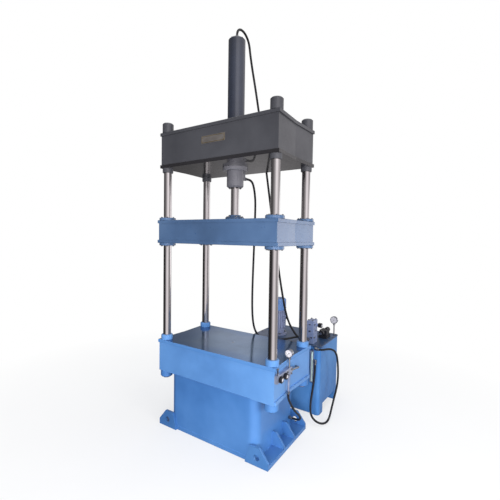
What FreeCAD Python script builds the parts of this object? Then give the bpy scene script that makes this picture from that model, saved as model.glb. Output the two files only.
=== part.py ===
import FreeCAD, Part
import os
from math import acos, cos, pi, radians, sin, tan

# A four-column hydraulic press with a downstroke cylinder and its power unit.
# Millimetres. +Z up, the press's front towards -Y, its right side towards +X.
# The origin is on the floor, midway between the four columns.

V = FreeCAD.Vector

# ---- driving dimensions -------------------------------------------------

# Columns
COLUMN_SPAN_X = 1000.0        # between column axes, left to right
COLUMN_SPAN_Y = 485.0         # between column axes, front to back
COLUMN_DIA = 63.0
COLUMN_TAIL = 62.0            # length that sticks out past head and bed
COLUMN_CHAMFER = 4.0

# Levels above the floor
TABLE_TOP = 693.0
BED_DEPTH = 256.0
SLIDE_BOTTOM = 1485.0         # where the slide rests in its drawn position
SLIDE_DEPTH = 184.0
HEAD_BOTTOM = 2088.0
HEAD_DEPTH = 281.0

# Welded boxes: how far their plates reach past the column axes
BED_MARGIN = 50.0
SLIDE_MARGIN = 56.0
HEAD_MARGIN_X = 46.0
HEAD_MARGIN_Y = 41.0
TABLE_HOLE_DIA = 24.0         # plugged hole at the table's centre
PLATE = 25.0                  # top and bottom plates
WALL = 12.0                   # side walls
SIDE_LIP = 10.0               # plates stand proud of the left and right walls
FRONT_LIP = 5.0               # and of the front and back walls
WAIST = 15.0                  # left and right walls fold inwards at mid depth
EDGE = 2.0                    # broken edges of plates

# Base under the bed
FOOT_MARGIN = 15.0            # how far the feet reach past the column axes
FOOT_LENGTH = 103.0           # how far they stand out from the base shell
BASE_CORNER = 70.0            # bent corners of the base shell
BASE_PLATE = 28.0
GUSSET_THICK = 16.0
GUSSET_HEIGHT = 130.0
GUSSET_TOE = 45.0
GUSSET_FLAT = 70.0            # slope length, measured along X
GUSSET_PLACES = (-65.0, 95.0)
LUG_THICK = 17.0
LUG_LENGTH = 185.0
LUG_BEVEL = 35.0
LUG_HOLE_DIA = 44.0
LUG_HOLE_INSET = 90.0         # from the foot's edge
LUG_HOLE_Z = 60.0

# Rings on the columns
TOP_NUT_DIA = 88.0
TOP_NUT_HEIGHT = 78.0
HEAD_COLLAR_DIA = 84.0
HEAD_COLLAR_HEIGHT = 36.0
TABLE_COLLAR_DIA = 94.0
TABLE_COLLAR_HEIGHT = 40.0
BOTTOM_NUT_DIA = 98.0
BOTTOM_NUT_HEIGHT = 52.0
RING_CHAMFER = 7.0

# Slide guides
BUSH_DIA = 77.0
BUSH_LENGTH = 70.0
BUSH_FLANGE_DIA = 130.0
BUSH_FLANGE = 20.0
RIM_BREAK = 3.0               # broken edge on turned flanges

# Cylinder
BARREL_DIA = 133.0
BARREL_WALL = 11.5
BARREL_BOTTOM = 1982.0
BARREL_TOP = 3035.0
CAP_HEIGHT = 46.0
CAP_CHAMFER = 9.0
SPIGOT = 22.0                 # cap and gland reach this far into the barrel
RING_NUT_DIA = 202.0
RING_NUT_HEIGHT = 28.0
RING_NUT_CHAMFER = 4.0
GLAND_HEIGHT = 52.0
GLAND_CHAMFER = 12.0
ROD_DIA = 65.0
PISTON_DROP = 345.0           # underside of the piston below the barrel's top
PISTON_HEIGHT = 70.0
PISTON_NECK_DIA = 48.0
PISTON_NUT_DIA = 76.8
PISTON_NUT_HEIGHT = 20.0
SEAL_WIDTH = 14.0             # of each groove in the piston
SEAL_DEPTH = 5.0
ROD_FLANGE_DIA = 150.0
ROD_FLANGE = 28.0
ROD_HUB_DIA = 98.0
ROD_HUB = 18.0
SLEEVE_WALL = 15.0            # tube round the barrel inside the head
PORT_DIA = 12.0
PORT_BLOCK = (26.0, 58.0, 23.5)  # width, height and how far it stands out
PORT_BLOCK_BOTTOM = 1999.0
PORT_LEVEL = 2012.0
PORT_ANGLE = 70.0             # from the right side towards the back

# Name plate, left bare
NAME_PLATE = (218.0, 56.0, 2.0)
NAME_PLATE_X = -2.0
NAME_PLATE_Z = 2253.0

# Fits
RUNNING = 0.05                # radial, for pieces that slide or turn
LOOSE = 0.3                   # radial, for a piece in a plain hole

# Valve, gauge and pipe on the right side of the bed
VALVE_OUT = 16.0              # outer face of the valve block, beyond the bed plates' ends
VALVE_FRONT = -285.0
VALVE_BACK = -72.0
VALVE_LEVEL = 614.0
VALVE_HEIGHT = 52.0
VALVE_CHAMFER = 4.0
VALVE_AXIS_IN = 10.0          # plane of the gauge stem and of the two pipes, behind that face
KNOB_DIA = 44.0
KNOB_LENGTH = 20.0
KNOB_PLACES = (-255.0, -187.0)
KNOB_GAP = 0.4
KNOB_RIM = 3.0                # chamfers of a hand knob, across and along
KNOB_SHOULDER = 4.0
FLUTES = 8
FLUTE_OFFSET = 2.0            # flute centres outside the knob's radius
FLUTE_SIZE = 0.42             # flute diameter, in knob radii
SPINDLE_DIA = 10.0
SPINDLE_LENGTH = 14.0
LEVER_IN = 7.0                # lever behind the valve block's outer face
LEVER_Y = -272.0
LEVER_RISE = 9.0              # lever pin above the valve block
LEVER_PIN_DIA = 6.0
LEVER_LENGTH = 32.0
LEVER_WIDTH = 6.0
LEVER_GRIP_DIA = 14.0
LEVER_GRIP_RISE = 3.0         # grip's centre above the end of the lever
LEVER_THICK = 8.0
LEVER_EYE_DIA = 14.4
LEVER_EAR = 3.0
LEVER_EAR_SIZE = 16.0
STEM_DIA = 12.0
SIDE_GAUGE_Y = -102.0
SIDE_GAUGE_Z = 742.0
SIDE_GAUGE_DIA = 60.0
GAUGE_DEPTH = 28.0
GAUGE_RECESS = 9.0            # dial below the rim
GAUGE_RIM = 4.0
GAUGE_BACK = 18.0             # depth of the slimmer back of the case
GAUGE_FLARE = 3.0             # from the back's radius to the rim's
GAUGE_NUT_DIA = 20.4
GAUGE_NUT_HEIGHT = 12.0
GAUGE_NUT_GAP = 2.0           # under the case
PIVOT_DIA = 3.0
PIVOT_INSET = 4.0             # tip of the pivot behind the rim
NEEDLE_HUB_DIA = 8.0
NEEDLE_HUB = (4.8, 6.8)       # behind the rim
NEEDLE_WIDTH = 1.8
NEEDLE_THICK = 1.2
NEEDLE_TAIL = 6.0
NEEDLE_REACH = 0.36           # of the gauge's diameter
NEEDLE_ZERO = -135.0          # degrees from straight up
DROP_PIPE_Y = -108.0
DROP_PIPE_END = 478.0
LINE_PIPE_DIA = 14.0
LINE_PIPE_DROP = 2.0          # start below the valve's middle
LINE_PIPE_LEAD = 20.0         # straight out of the valve
LINE_PIPE_FALL = 20.0
LINE_PIPE_BACK = 62.0         # where it turns into the wall
UNION_DIA = 22.4
UNION_LENGTH = 14.0

# Oil tank of the power unit
TANK_LEFT = -148.0
TANK_RIGHT = 528.0
TANK_FRONT = 545.0
TANK_BACK = 1020.0
TANK_TOP = 605.0
TANK_FLOOR = 80.0
TANK_SKIN = 4.0
TANK_CORNER = 30.0
LID_THICK = 8.0
LID_LIP = 5.0
TANK_LEG = (60.0, 92.0)

# Motor and pump, on one vertical axis
MOTOR_X = 26.0
MOTOR_Y = 705.0
MOTOR_DIA = 160.0
MOTOR_TOP = 953.0
MOTOR_FLANGE_DIA = 178.0
MOTOR_FLANGE = 14.0
MOTOR_NECK = 42.0             # bell between flange and ribbed body
MOTOR_WALL = 9.0
MOTOR_SHIELD = 12.0           # end shields that carry the shaft
MOTOR_SPIGOT = 14.0           # upper shield's reach into the fan cover
MOTOR_NECK_SLOPE = 6.0
TERMINAL_BOX = (74.0, 48.0, 90.0)
TERMINAL_BOX_RISE = 60.0      # above the ribbed body's foot
TERMINAL_BOX_REACH = 34.0     # out of the motor's back
TERMINAL_BOX_CORNER = 6.0
RIB_ENDS = (6.0, 4.0)         # bare ends of the ribbed body
RIB_COUNT = 24
RIB_HEIGHT = 9.0
RIB_THICK = 3.5
FAN_COVER_HEIGHT = 108.0
FAN_COVER_SKIN = 2.0
FAN_COVER_CORNER = 12.0
FAN_COVER_SEAT = (2.0, 8.0)   # ring that grips the motor, above the cover's foot
FAN_SLOTS = 12
FAN_SLOT_WIDTH = 6.0
FAN_SLOT_SPAN = (0.3, 0.68)   # in cover radii
FAN_LEVEL = 40.0              # above the cover's foot
FAN_DISC = 4.0
FAN_DIA = 128.0
FAN_BLADES = 7
FAN_BLADE_THICK = 3.0
FAN_HEIGHT = 24.0
SHAFT_DIA = 28.0
SHAFT_HOLE_DIA = 44.0         # in the tank's lid
ROTOR_DIA = 84.0
ROTOR_ENDS = (34.0, 22.0)     # clear of the two shields
PUMP_NECK_DIA = 96.0
PUMP_NECK_LENGTH = 110.0
PUMP_NECK_FLOOR = 14.0
PUMP_NECK_WALL = 9.0
PUMP_FLANGE = (16.0, 12.0)    # reach past the neck, and thickness
PUMP_SHAFT_DIA = 20.0
COUPLING_DIA = 60.0
COUPLING_LENGTH = 50.0
COUPLING_RISE = 14.0          # above the neck's floor
PUMP_SHAFT_TIP = 2.0          # above the pump
PUMP_BODY = (92.0, 104.0, 88.0)
PUMP_BODY_CORNER = 20.0
SUCTION_DIA = 34.0
STRAINER_DIA = 86.0
STRAINER_HEIGHT = 90.0
STRAINER_FLOOR = 26.0         # above the tank's floor
STRAINER_CHAMFER = 8.0

# Valves on the lid
MANIFOLD = (62.0, 92.0, 205.0)
MANIFOLD_X = 415.0
MANIFOLD_Y = 636.0
MANIFOLD_CHAMFER = 3.0
STACK_JOINTS = (86.0, 134.0)  # where one block of the stack sits on the next
JOINT_WIDTH = 1.6
JOINT_DEPTH = 1.5
RELIEF_LEVEL = 762.0
RELIEF_Y = 662.0
RELIEF_KNOB_DIA = 42.0
RELIEF_KNOB_LENGTH = 34.0
CARTRIDGE_DIA = 28.0
CARTRIDGE_LENGTH = 18.0
SOLENOID_X = 452.0
SOLENOID_Y = 850.0
SOLENOID_BLOCK = (70.0, 78.0, 74.0)
SUB_PLATE = (6.0, 10.0, 26.0)  # reach past the block in x and y, and height
COIL_RISE = 8.0               # coil axis above the middle of the block
COIL_DIA = 46.0
COIL_LENGTH = 52.0
COIL_NUT = (24.0, 12.0)       # diameter and length
TANK_GAUGE_X = 505.0
TANK_GAUGE_Y = 965.0
TANK_GAUGE_Z = 755.0
TANK_GAUGE_DIA = 72.0
FILLER_X = -70.0
FILLER_Y = 900.0
FILLER_DIA = 74.0             # of the cap
FILLER_FLANGE_DIA = 70.0
FILLER_FLANGE = 8.0
FILLER_NECK_DIA = 56.0
FILLER_THROAT_DIA = 50.0
FILLER_NECK = 26.0
FILLER_CAP = 40.0
FILLER_CAP_CHAMFER = (3.0, 6.0)  # at its skirt and at its top

# Hoses: outer diameters, and the length of their end fittings
HEAD_HOSE_DIA = 18.0
GLAND_HOSE_DIA = 18.0
DROP_HOSE_DIA = 16.0
LOOP_HOSE_DIA = 17.0
FITTING_LENGTH = 34.0
SHORT_FITTING = 20.0
FITTING_NUT_SHARE = 0.45      # of a fitting's length; the rest is its sleeve
FITTING_FLATS = 1.5           # across flats, in hose diameters
SLEEVE_GROWTH = 1.24          # sleeve diameter, in hose diameters
ELBOW_REACH = 22.0            # from the tank's front to the elbow's centre
ELBOW_STEM = 0.75             # stem diameter, in hose diameters
ELBOW_BALL = 1.5              # ball diameter, in hose diameters

# Where the hoses meet the valves, the tank and the base
HEAD_PORT = (400.0, 642.0)    # x and z on the front of the valve stack
GLAND_PORT = (618.0, 642.0)   # y and z on its left side
LOOP_PORT_X = 496.0           # both ends of the loop, on the tank's front
LOOP_PORT_HIGH = 590.0
LOOP_PORT_LOW = 486.0
BASE_PORT = (200.0, 112.0)    # y and z on the base's right side

# Hose routes, point by point, from one fitting's end to the other's
HEAD_HOSE_ROUTE = [
    (0, 0, 3115), (0, 0, 3139), (-1, 10, 3163), (-3, 28, 3181), (-4, 52, 3191),
    (-4, 78, 3191), (-2, 102, 3181), (1, 121, 3163), (5, 131, 3139), (11, 140, 3100),
    (20, 156, 3032), (28, 186, 2925), (32, 228, 2775), (39, 280, 2600), (54, 316, 2390),
    (82, 334, 2150), (118, 340, 1900), (154, 344, 1660), (188, 351, 1440), (212, 366, 1240),
    (234, 388, 1070), (251, 408, 950), (265, 426, 860), (281, 444, 792), (308, 460, 738),
    (352, 471, 696), (377, 485, 668), (393, 506, 650), (400, 531, 642), (400, 556, 642)]
GLAND_HOSE_ROUTE = [
    (37.62, 103.37, 2012), (45.83, 125.92, 2012), (46, 152, 2009), (39, 190, 1998),
    (27, 230, 1976), (12, 266, 1946), (0, 296, 1908), (-8, 316, 1859), (-14, 327, 1797),
    (-19, 334, 1700), (-25, 338, 1560), (-34, 342, 1340), (-41, 343, 1100), (-43, 346, 920),
    (-38, 352, 800), (-22, 362, 710), (10, 380, 650), (58, 404, 625), (116, 434, 622),
    (178, 466, 628), (232, 504, 634), (262, 546, 639), (280, 582, 641), (300, 607, 642),
    (324, 618, 642), (350, 618, 642)]
DROP_HOSE_ROUTE = [
    (556, -108, 458), (556, -108, 434), (557.5, -95, 404), (561, -68, 362), (563, -28, 314),
    (561, 18, 272), (556, 62, 238), (549, 100, 210), (540, 136, 180), (530, 163, 154),
    (515, 182, 132), (494, 195, 118), (470, 200, 112), (446, 200, 112)]
LOOP_HOSE_ROUTE = [
    (530, 523, 590), (553, 523, 590), (575, 529, 595), (594, 544, 602), (609, 567, 606),
    (620, 595, 600), (629, 623, 576), (637, 650, 532), (643, 670, 468), (647, 682, 390),
    (647, 684, 310), (643, 675, 236), (635, 653, 170), (627, 619, 114), (621, 576, 70),
    (617, 530, 40), (614, 488, 22), (608, 452, 15), (597, 421, 15), (572, 401, 25),
    (542, 400, 45), (515, 421, 76), (499, 450, 116), (490, 475, 170), (487, 494, 240),
    (491, 511, 324), (496, 523, 400), (496, 523, 452)]


# ---- worked-out sizes ---------------------------------------------------

HALF_X = COLUMN_SPAN_X / 2
HALF_Y = COLUMN_SPAN_Y / 2
COLUMN_R = COLUMN_DIA / 2
BED_BOTTOM = TABLE_TOP - BED_DEPTH
SLIDE_TOP = SLIDE_BOTTOM + SLIDE_DEPTH
HEAD_TOP = HEAD_BOTTOM + HEAD_DEPTH
FOOT_REACH = HALF_X + FOOT_MARGIN
BASE_HALF = FOOT_REACH - FOOT_LENGTH
BED_HALF_X = HALF_X + BED_MARGIN
BED_HALF_Y = HALF_Y + BED_MARGIN
VALVE_FACE = BED_HALF_X + VALVE_OUT
VALVE_AXIS_X = VALVE_FACE - VALVE_AXIS_IN
LEVER_X = VALVE_FACE - LEVER_IN
BED_FACE = BED_HALF_Y - FRONT_LIP           # front of the bed and of the base
TANK_LID_BOTTOM = TANK_TOP - LID_THICK
VALVE_TOP = VALVE_LEVEL + VALVE_HEIGHT / 2
LEVER_PIN_Z = VALVE_TOP + LEVER_RISE
CAP_TOP = BARREL_TOP + CAP_HEIGHT
BARREL_BORE = BARREL_DIA - 2 * BARREL_WALL
PISTON_LEVEL = BARREL_TOP - PISTON_DROP
PORT_FACE = BARREL_DIA / 2 + PORT_BLOCK[2]   # from the barrel's axis
MANIFOLD_LEFT = MANIFOLD_X - MANIFOLD[0] / 2
MANIFOLD_RIGHT = MANIFOLD_X + MANIFOLD[0] / 2
MANIFOLD_FRONT = MANIFOLD_Y - MANIFOLD[1] / 2
PORT_WAY = V(cos(radians(PORT_ANGLE)), sin(radians(PORT_ANGLE)), 0)
SLIDE_HALF = (HALF_X + SLIDE_MARGIN, HALF_Y + SLIDE_MARGIN)
HEAD_HALF = (HALF_X + HEAD_MARGIN_X, HALF_Y + HEAD_MARGIN_Y)
CORNERS = {
    "front_left": (-HALF_X, -HALF_Y),
    "front_right": (HALF_X, -HALF_Y),
    "back_left": (-HALF_X, HALF_Y),
    "back_right": (HALF_X, HALF_Y),
}


# ---- shape helpers ------------------------------------------------------

def box(x0, x1, y0, y1, z0, z1):
    return Part.makeBox(x1 - x0, y1 - y0, z1 - z0, V(x0, y0, z0))


def rod(start, end, dia):
    """A round bar between two points."""
    start, end = V(*start), V(*end)
    return Part.makeCylinder(dia / 2, (end - start).Length, start, end - start)


def post(x, y, z0, z1, dia):
    return rod((x, y, z0), (x, y, z1), dia)


def prism(outline, z0, z1):
    points = [V(x, y, z0) for x, y in outline]
    face = Part.Face(Part.makePolygon(points + points[:1]))
    return face.extrude(V(0, 0, z1 - z0))


def turned(profile, x=0.0, y=0.0):
    """A solid of revolution about a vertical axis, from (radius, z) points."""
    points = [V(x + r, y, z) for r, z in profile]
    face = Part.Face(Part.makePolygon(points + points[:1]))
    return face.revolve(V(x, y, 0), V(0, 0, 1), 360)


def turned_along(profile, origin, direction):
    """A solid of revolution about any axis, from (radius, distance) points."""
    shape = turned(profile)
    turn = FreeCAD.Rotation(V(0, 0, 1), V(*direction))
    shape.Placement = FreeCAD.Placement(V(*origin), turn)
    return shape


def joined(pieces):
    shape = pieces[0].multiFuse(pieces[1:])
    return shape.removeSplitter()


def waisted(half_x, half_y, waist=WAIST):
    """A plate's outline: a rectangle whose left and right edges fold inwards."""
    return [(-half_x, -half_y), (half_x, -half_y), (half_x - waist, 0),
            (half_x, half_y), (-half_x, half_y), (-half_x + waist, 0)]


def rounded(x0, x1, y0, y1, z0, z1, radius):
    """A block with rounded vertical edges."""
    block = box(x0, x1, y0, y1, z0, z1)
    upright = [e for e in block.Edges if abs(e.tangentAt(e.FirstParameter).z) > 0.9]
    return block.makeFillet(radius, upright)


def broken_edges(shape, size, level):
    """Chamfer the straight edges that lie at one level."""
    edges = [e for e in shape.Edges
             if isinstance(e.Curve, Part.Line)
             and all(abs(v.Z - level) < 0.01 for v in e.Vertexes)]
    return shape.makeChamfer(size, edges)


def drilled_at_columns(shape, dia, z0, z1):
    holes = [post(x, y, z0 - 1, z1 + 1, dia) for x, y in CORNERS.values()]
    return shape.cut(Part.makeCompound(holes))


# ---- hoses --------------------------------------------------------------

def bent_tube(name, route, dia):
    """A tube along straight runs joined by the largest tangent arcs."""
    points = [V(*p) for p in route]
    edges = []
    radii = []
    start = points[0]
    for before, corner, after in zip(points, points[1:], points[2:]):
        run_in = corner - before
        run_out = after - corner
        way_in = V(run_in).normalize()
        way_out = V(run_out).normalize()
        turn = acos(max(-1.0, min(1.0, way_in.dot(way_out))))
        reach = 0.45 * min(run_in.Length, run_out.Length)
        radius = reach / tan(turn / 2)
        radii.append(radius)
        arc_start = corner - way_in * reach
        arc_end = corner + way_out * reach
        bulge = (way_out - way_in).normalize()
        centre = corner + bulge * (radius / cos(turn / 2))
        middle = centre - bulge * radius
        edges.append(Part.LineSegment(start, arc_start).toShape())
        edges.append(Part.Arc(arc_start, middle, arc_end).toShape())
        start = arc_end
    edges.append(Part.LineSegment(start, points[-1]).toShape())
    path = Part.Wire(edges)
    section = Part.Circle(points[0], points[1] - points[0], dia / 2).toShape()
    tube = path.makePipeShell([Part.Wire(section)], True, False)
    expected = pi * dia ** 2 / 4 * path.Length
    print(f"{name}: {path.Length:.0f} mm long, tightest bend {min(radii):.0f} mm, "
          f"volume {tube.Volume / expected:.4f} of section times length")
    return tube


def fitting(start, end, hose_dia):
    """A hose end: a hexagon nut on the port and a crimped sleeve."""
    start, end = V(*start), V(*end)
    axis = end - start
    length = axis.Length
    nut_length = length * FITTING_NUT_SHARE
    reach = hose_dia * FITTING_FLATS / 2 / cos(pi / 6)
    corners = [V(cos(radians(60 * i)), sin(radians(60 * i)), 0) * reach for i in range(6)]
    hexagon = Part.Face(Part.makePolygon(corners + corners[:1]))
    nut = hexagon.extrude(V(0, 0, nut_length))
    sleeve = post(0, 0, nut_length, length, hose_dia * SLEEVE_GROWTH)
    shape = nut.fuse(sleeve).removeSplitter()
    shape.Placement = FreeCAD.Placement(start, FreeCAD.Rotation(V(0, 0, 1), axis))
    return shape


# ---- columns and what is screwed on them --------------------------------

def column(x, y):
    bottom = BED_BOTTOM - COLUMN_TAIL
    top = HEAD_TOP + COLUMN_TAIL
    c = COLUMN_CHAMFER
    return turned([(0, bottom), (COLUMN_R - c, bottom), (COLUMN_R, bottom + c),
                   (COLUMN_R, top - c), (COLUMN_R - c, top), (0, top)], x, y)


def ring(x, y, bore, dia, z0, z1, chamfer_low=0.0, chamfer_high=0.0):
    """A turned ring with chamfered rims."""
    inner, outer = bore / 2, dia / 2
    profile = [(inner, z0), (outer - chamfer_low, z0), (outer, z0 + chamfer_low),
               (outer, z1 - chamfer_high), (outer - chamfer_high, z1), (inner, z1)]
    tidy = [p for i, p in enumerate(profile) if p != profile[i - 1]]
    return turned(tidy, x, y)


def top_nut(x, y):
    nut = turned([(0, HEAD_TOP), (TOP_NUT_DIA / 2, HEAD_TOP),
                  (TOP_NUT_DIA / 2, HEAD_TOP + TOP_NUT_HEIGHT - RING_CHAMFER),
                  (TOP_NUT_DIA / 2 - RING_CHAMFER, HEAD_TOP + TOP_NUT_HEIGHT),
                  (0, HEAD_TOP + TOP_NUT_HEIGHT)], x, y)
    return nut.cut(post(x, y, HEAD_TOP - 1, HEAD_TOP + COLUMN_TAIL, COLUMN_DIA + 2 * RUNNING))


def at_each_column(make):
    return Part.makeCompound([make(x, y) for x, y in CORNERS.values()])


def head_collar(x, y):
    return ring(x, y, COLUMN_DIA + 2 * RUNNING, HEAD_COLLAR_DIA,
                HEAD_BOTTOM - HEAD_COLLAR_HEIGHT, HEAD_BOTTOM, RING_CHAMFER / 2, 0)


def table_collar(x, y):
    return ring(x, y, COLUMN_DIA + 2 * RUNNING, TABLE_COLLAR_DIA,
                TABLE_TOP, TABLE_TOP + TABLE_COLLAR_HEIGHT, 0, RING_CHAMFER)


def bottom_nut(x, y):
    return ring(x, y, COLUMN_DIA + 2 * RUNNING, BOTTOM_NUT_DIA,
                BED_BOTTOM - BOTTOM_NUT_HEIGHT, BED_BOTTOM, RING_CHAMFER, 0)


# ---- bed and base -------------------------------------------------------

def table_plate():
    bottom = TABLE_TOP - PLATE
    plate = prism(waisted(BED_HALF_X, BED_HALF_Y), bottom, TABLE_TOP)
    plate = broken_edges(plate, EDGE, TABLE_TOP)
    plate = drilled_at_columns(plate, COLUMN_DIA + 2 * LOOSE, bottom, TABLE_TOP)
    return plate.cut(post(0, 0, bottom - 1, TABLE_TOP + 1, TABLE_HOLE_DIA))


def bed_bottom_plate():
    half_y = BED_FACE - WALL
    plate = prism(waisted(BED_HALF_X, half_y), BED_BOTTOM, BED_BOTTOM + PLATE)
    return drilled_at_columns(plate, COLUMN_DIA + 2 * LOOSE, BED_BOTTOM, BED_BOTTOM + PLATE)


def bed_face_plate(side):
    """The front (side -1) or back (side +1) wall of the bed."""
    half_x = BED_HALF_X - SIDE_LIP
    y0, y1 = sorted((side * (BED_FACE - WALL), side * BED_FACE))
    return box(-half_x, half_x, y0, y1, BED_BOTTOM, TABLE_TOP - PLATE)


def bed_side(side):
    """A folded side wall of the bed with the two bored posts for its columns."""
    half_x = BED_HALF_X - SIDE_LIP
    half_y = BED_FACE - WALL
    z0, z1 = BED_BOTTOM + PLATE, TABLE_TOP - PLATE
    outline = waisted(half_x, half_y)
    outer = prism(outline, z0, z1)
    inner = prism(waisted(half_x - WALL, half_y + 1), z0 - 1, z1 + 1)
    reach = half_x - HALF_X
    corner_posts = [box(side * HALF_X - reach, side * HALF_X + reach,
                        y - reach, y + reach, z0, z1) for y in (-HALF_Y, HALF_Y)]
    wall = outer.cut(inner)
    wall = wall.fuse(Part.makeCompound(corner_posts).common(outer))
    keep = box(*sorted((side * (HALF_X - reach - 1), side * (half_x + 1))),
               -half_y - 1, half_y + 1, z0 - 1, z1 + 1)
    wall = wall.common(keep).removeSplitter()
    return drilled_at_columns(wall, COLUMN_DIA + 2 * LOOSE, z0, z1)


def base_plate():
    """The plate that the press stands on; its two ends are the feet."""
    return box(-FOOT_REACH, FOOT_REACH, -BED_FACE, BED_FACE, 0, BASE_PLATE)


def base_shell():
    """Bent plate between the base plate and the bed."""
    outer = rounded(-BASE_HALF, BASE_HALF, -BED_FACE, BED_FACE,
                    BASE_PLATE, BED_BOTTOM, BASE_CORNER)
    inner = rounded(-BASE_HALF + WALL, BASE_HALF - WALL, -BED_FACE + WALL, BED_FACE - WALL,
                    BASE_PLATE - 1, BED_BOTTOM + 1, BASE_CORNER - WALL)
    return outer.cut(inner)


def gusset_outline(low_inner, high_inner, bottom):
    """Seen from the front: flat top by the shell, then a slope to a short toe."""
    slope_start = FOOT_REACH - GUSSET_FLAT
    return [(low_inner, bottom), (FOOT_REACH, bottom), (FOOT_REACH, GUSSET_TOE),
            (slope_start, GUSSET_HEIGHT), (high_inner, GUSSET_HEIGHT)]


def upright_plate(outline, y0, y1, side):
    points = [V(side * x, y0, z) for x, z in outline]
    face = Part.Face(Part.makePolygon(points + points[:1]))
    return face.extrude(V(0, y1 - y0, 0))


def foot(side):
    """The gussets on one end of the base plate and its two corner lugs."""
    outline = gusset_outline(BASE_HALF, BASE_HALF, BASE_PLATE)
    pieces = [upright_plate(outline, y - GUSSET_THICK / 2, y + GUSSET_THICK / 2, side)
              for y in GUSSET_PLACES]
    inner = FOOT_REACH - LUG_LENGTH
    lug = gusset_outline(inner, inner + LUG_BEVEL, 0)
    hole_x = side * (FOOT_REACH - LUG_HOLE_INSET)
    for y0, y1 in ((-BED_FACE - LUG_THICK, -BED_FACE), (BED_FACE, BED_FACE + LUG_THICK)):
        hole = rod((hole_x, y0 - 1, LUG_HOLE_Z), (hole_x, y1 + 1, LUG_HOLE_Z), LUG_HOLE_DIA)
        pieces.append(upright_plate(lug, y0, y1, side).cut(hole))
    return Part.makeCompound(pieces)


# ---- slide and head -----------------------------------------------------

def crossbeam_plate(half_x, half_y, z0, z1, column_bore, broken_level):
    """Bottom or top plate of the slide or the head."""
    plate = broken_edges(prism(waisted(half_x, half_y), z0, z1), EDGE, broken_level)
    return drilled_at_columns(plate, column_bore, z0, z1)


def crossbeam_walls(half_x, half_y, z0, z1, column_bore):
    """Folded walls between two plates, with a bored block in each corner."""
    wall_x, wall_y = half_x - SIDE_LIP, half_y - FRONT_LIP
    outer = prism(waisted(wall_x, wall_y), z0, z1)
    inner = prism(waisted(wall_x - WALL, wall_y - WALL), z0, z1)
    reach = column_bore / 2 + WALL
    posts = [box(x - reach, x + reach, y - reach, y + reach, z0, z1)
             for x, y in CORNERS.values()]
    corner_posts = Part.makeCompound(posts).common(outer)
    return drilled_at_columns(joined([outer.cut(inner), corner_posts]), column_bore, z0, z1)


def slide_bottom_plate():
    return crossbeam_plate(*SLIDE_HALF, SLIDE_BOTTOM, SLIDE_BOTTOM + PLATE,
                           BUSH_DIA + 2 * RUNNING, SLIDE_BOTTOM)


def slide_top_plate():
    return crossbeam_plate(*SLIDE_HALF, SLIDE_TOP - PLATE, SLIDE_TOP,
                           BUSH_DIA + 2 * RUNNING, SLIDE_TOP)


def slide_walls():
    return crossbeam_walls(*SLIDE_HALF, SLIDE_BOTTOM + PLATE, SLIDE_TOP - PLATE,
                           BUSH_DIA + 2 * RUNNING)


def guide_bushes(x, y):
    """An upper and a lower flanged bush, pressed into the slide from each side."""
    bore = COLUMN_R + RUNNING
    body = BUSH_DIA / 2
    rim = BUSH_FLANGE_DIA / 2
    upper = [(bore, SLIDE_TOP - BUSH_LENGTH), (body, SLIDE_TOP - BUSH_LENGTH),
             (body, SLIDE_TOP), (rim, SLIDE_TOP), (rim, SLIDE_TOP + BUSH_FLANGE - RIM_BREAK),
             (rim - RIM_BREAK, SLIDE_TOP + BUSH_FLANGE), (bore, SLIDE_TOP + BUSH_FLANGE)]
    middle = SLIDE_BOTTOM + SLIDE_TOP
    lower = [(r, middle - z) for r, z in reversed(upper)]
    return Part.makeCompound([turned(upper, x, y), turned(lower, x, y)])


def head_bottom_plate():
    plate = crossbeam_plate(*HEAD_HALF, HEAD_BOTTOM, HEAD_BOTTOM + PLATE,
                            COLUMN_DIA + 2 * LOOSE, HEAD_BOTTOM)
    return plate.cut(post(0, 0, HEAD_BOTTOM - 1, HEAD_TOP, BARREL_DIA + 2 * LOOSE))


def head_top_plate():
    plate = crossbeam_plate(*HEAD_HALF, HEAD_TOP - PLATE, HEAD_TOP,
                            COLUMN_DIA + 2 * LOOSE, HEAD_TOP)
    return plate.cut(post(0, 0, HEAD_BOTTOM, HEAD_TOP + 1, BARREL_DIA + 2 * LOOSE))


def head_walls():
    """The head's walls with the tube that holds the barrel."""
    z0, z1 = HEAD_BOTTOM + PLATE, HEAD_TOP - PLATE
    walls = crossbeam_walls(*HEAD_HALF, z0, z1, COLUMN_DIA + 2 * LOOSE)
    sleeve = ring(0, 0, BARREL_DIA + 2 * LOOSE, BARREL_DIA + 2 * SLEEVE_WALL, z0, z1)
    return Part.makeCompound([walls, sleeve])


def nameplate():
    width, height, thick = NAME_PLATE
    face = -(HALF_Y + HEAD_MARGIN_Y - FRONT_LIP)
    plate = box(NAME_PLATE_X - width / 2, NAME_PLATE_X + width / 2, face - thick, face,
                NAME_PLATE_Z - height / 2, NAME_PLATE_Z + height / 2)
    return plate


# ---- cylinder -----------------------------------------------------------

def cylinder_barrel():
    """The tube, with a welded block for the lower port below the head."""
    tube = ring(0, 0, BARREL_BORE, BARREL_DIA, BARREL_BOTTOM, BARREL_TOP)
    width, height, _ = PORT_BLOCK
    block = box(0, PORT_FACE, -width / 2, width / 2, 0, height)
    block.Placement = FreeCAD.Placement(V(0, 0, PORT_BLOCK_BOTTOM),
                                        FreeCAD.Rotation(V(0, 0, 1), PORT_ANGLE))
    block = block.cut(post(0, 0, PORT_BLOCK_BOTTOM, PORT_BLOCK_BOTTOM + height,
                           BARREL_DIA - BARREL_WALL))
    centre = V(0, 0, PORT_LEVEL)
    port = rod(centre, centre + PORT_WAY * (PORT_FACE + 1), PORT_DIA)
    return joined([tube, block]).cut(port)


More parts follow.
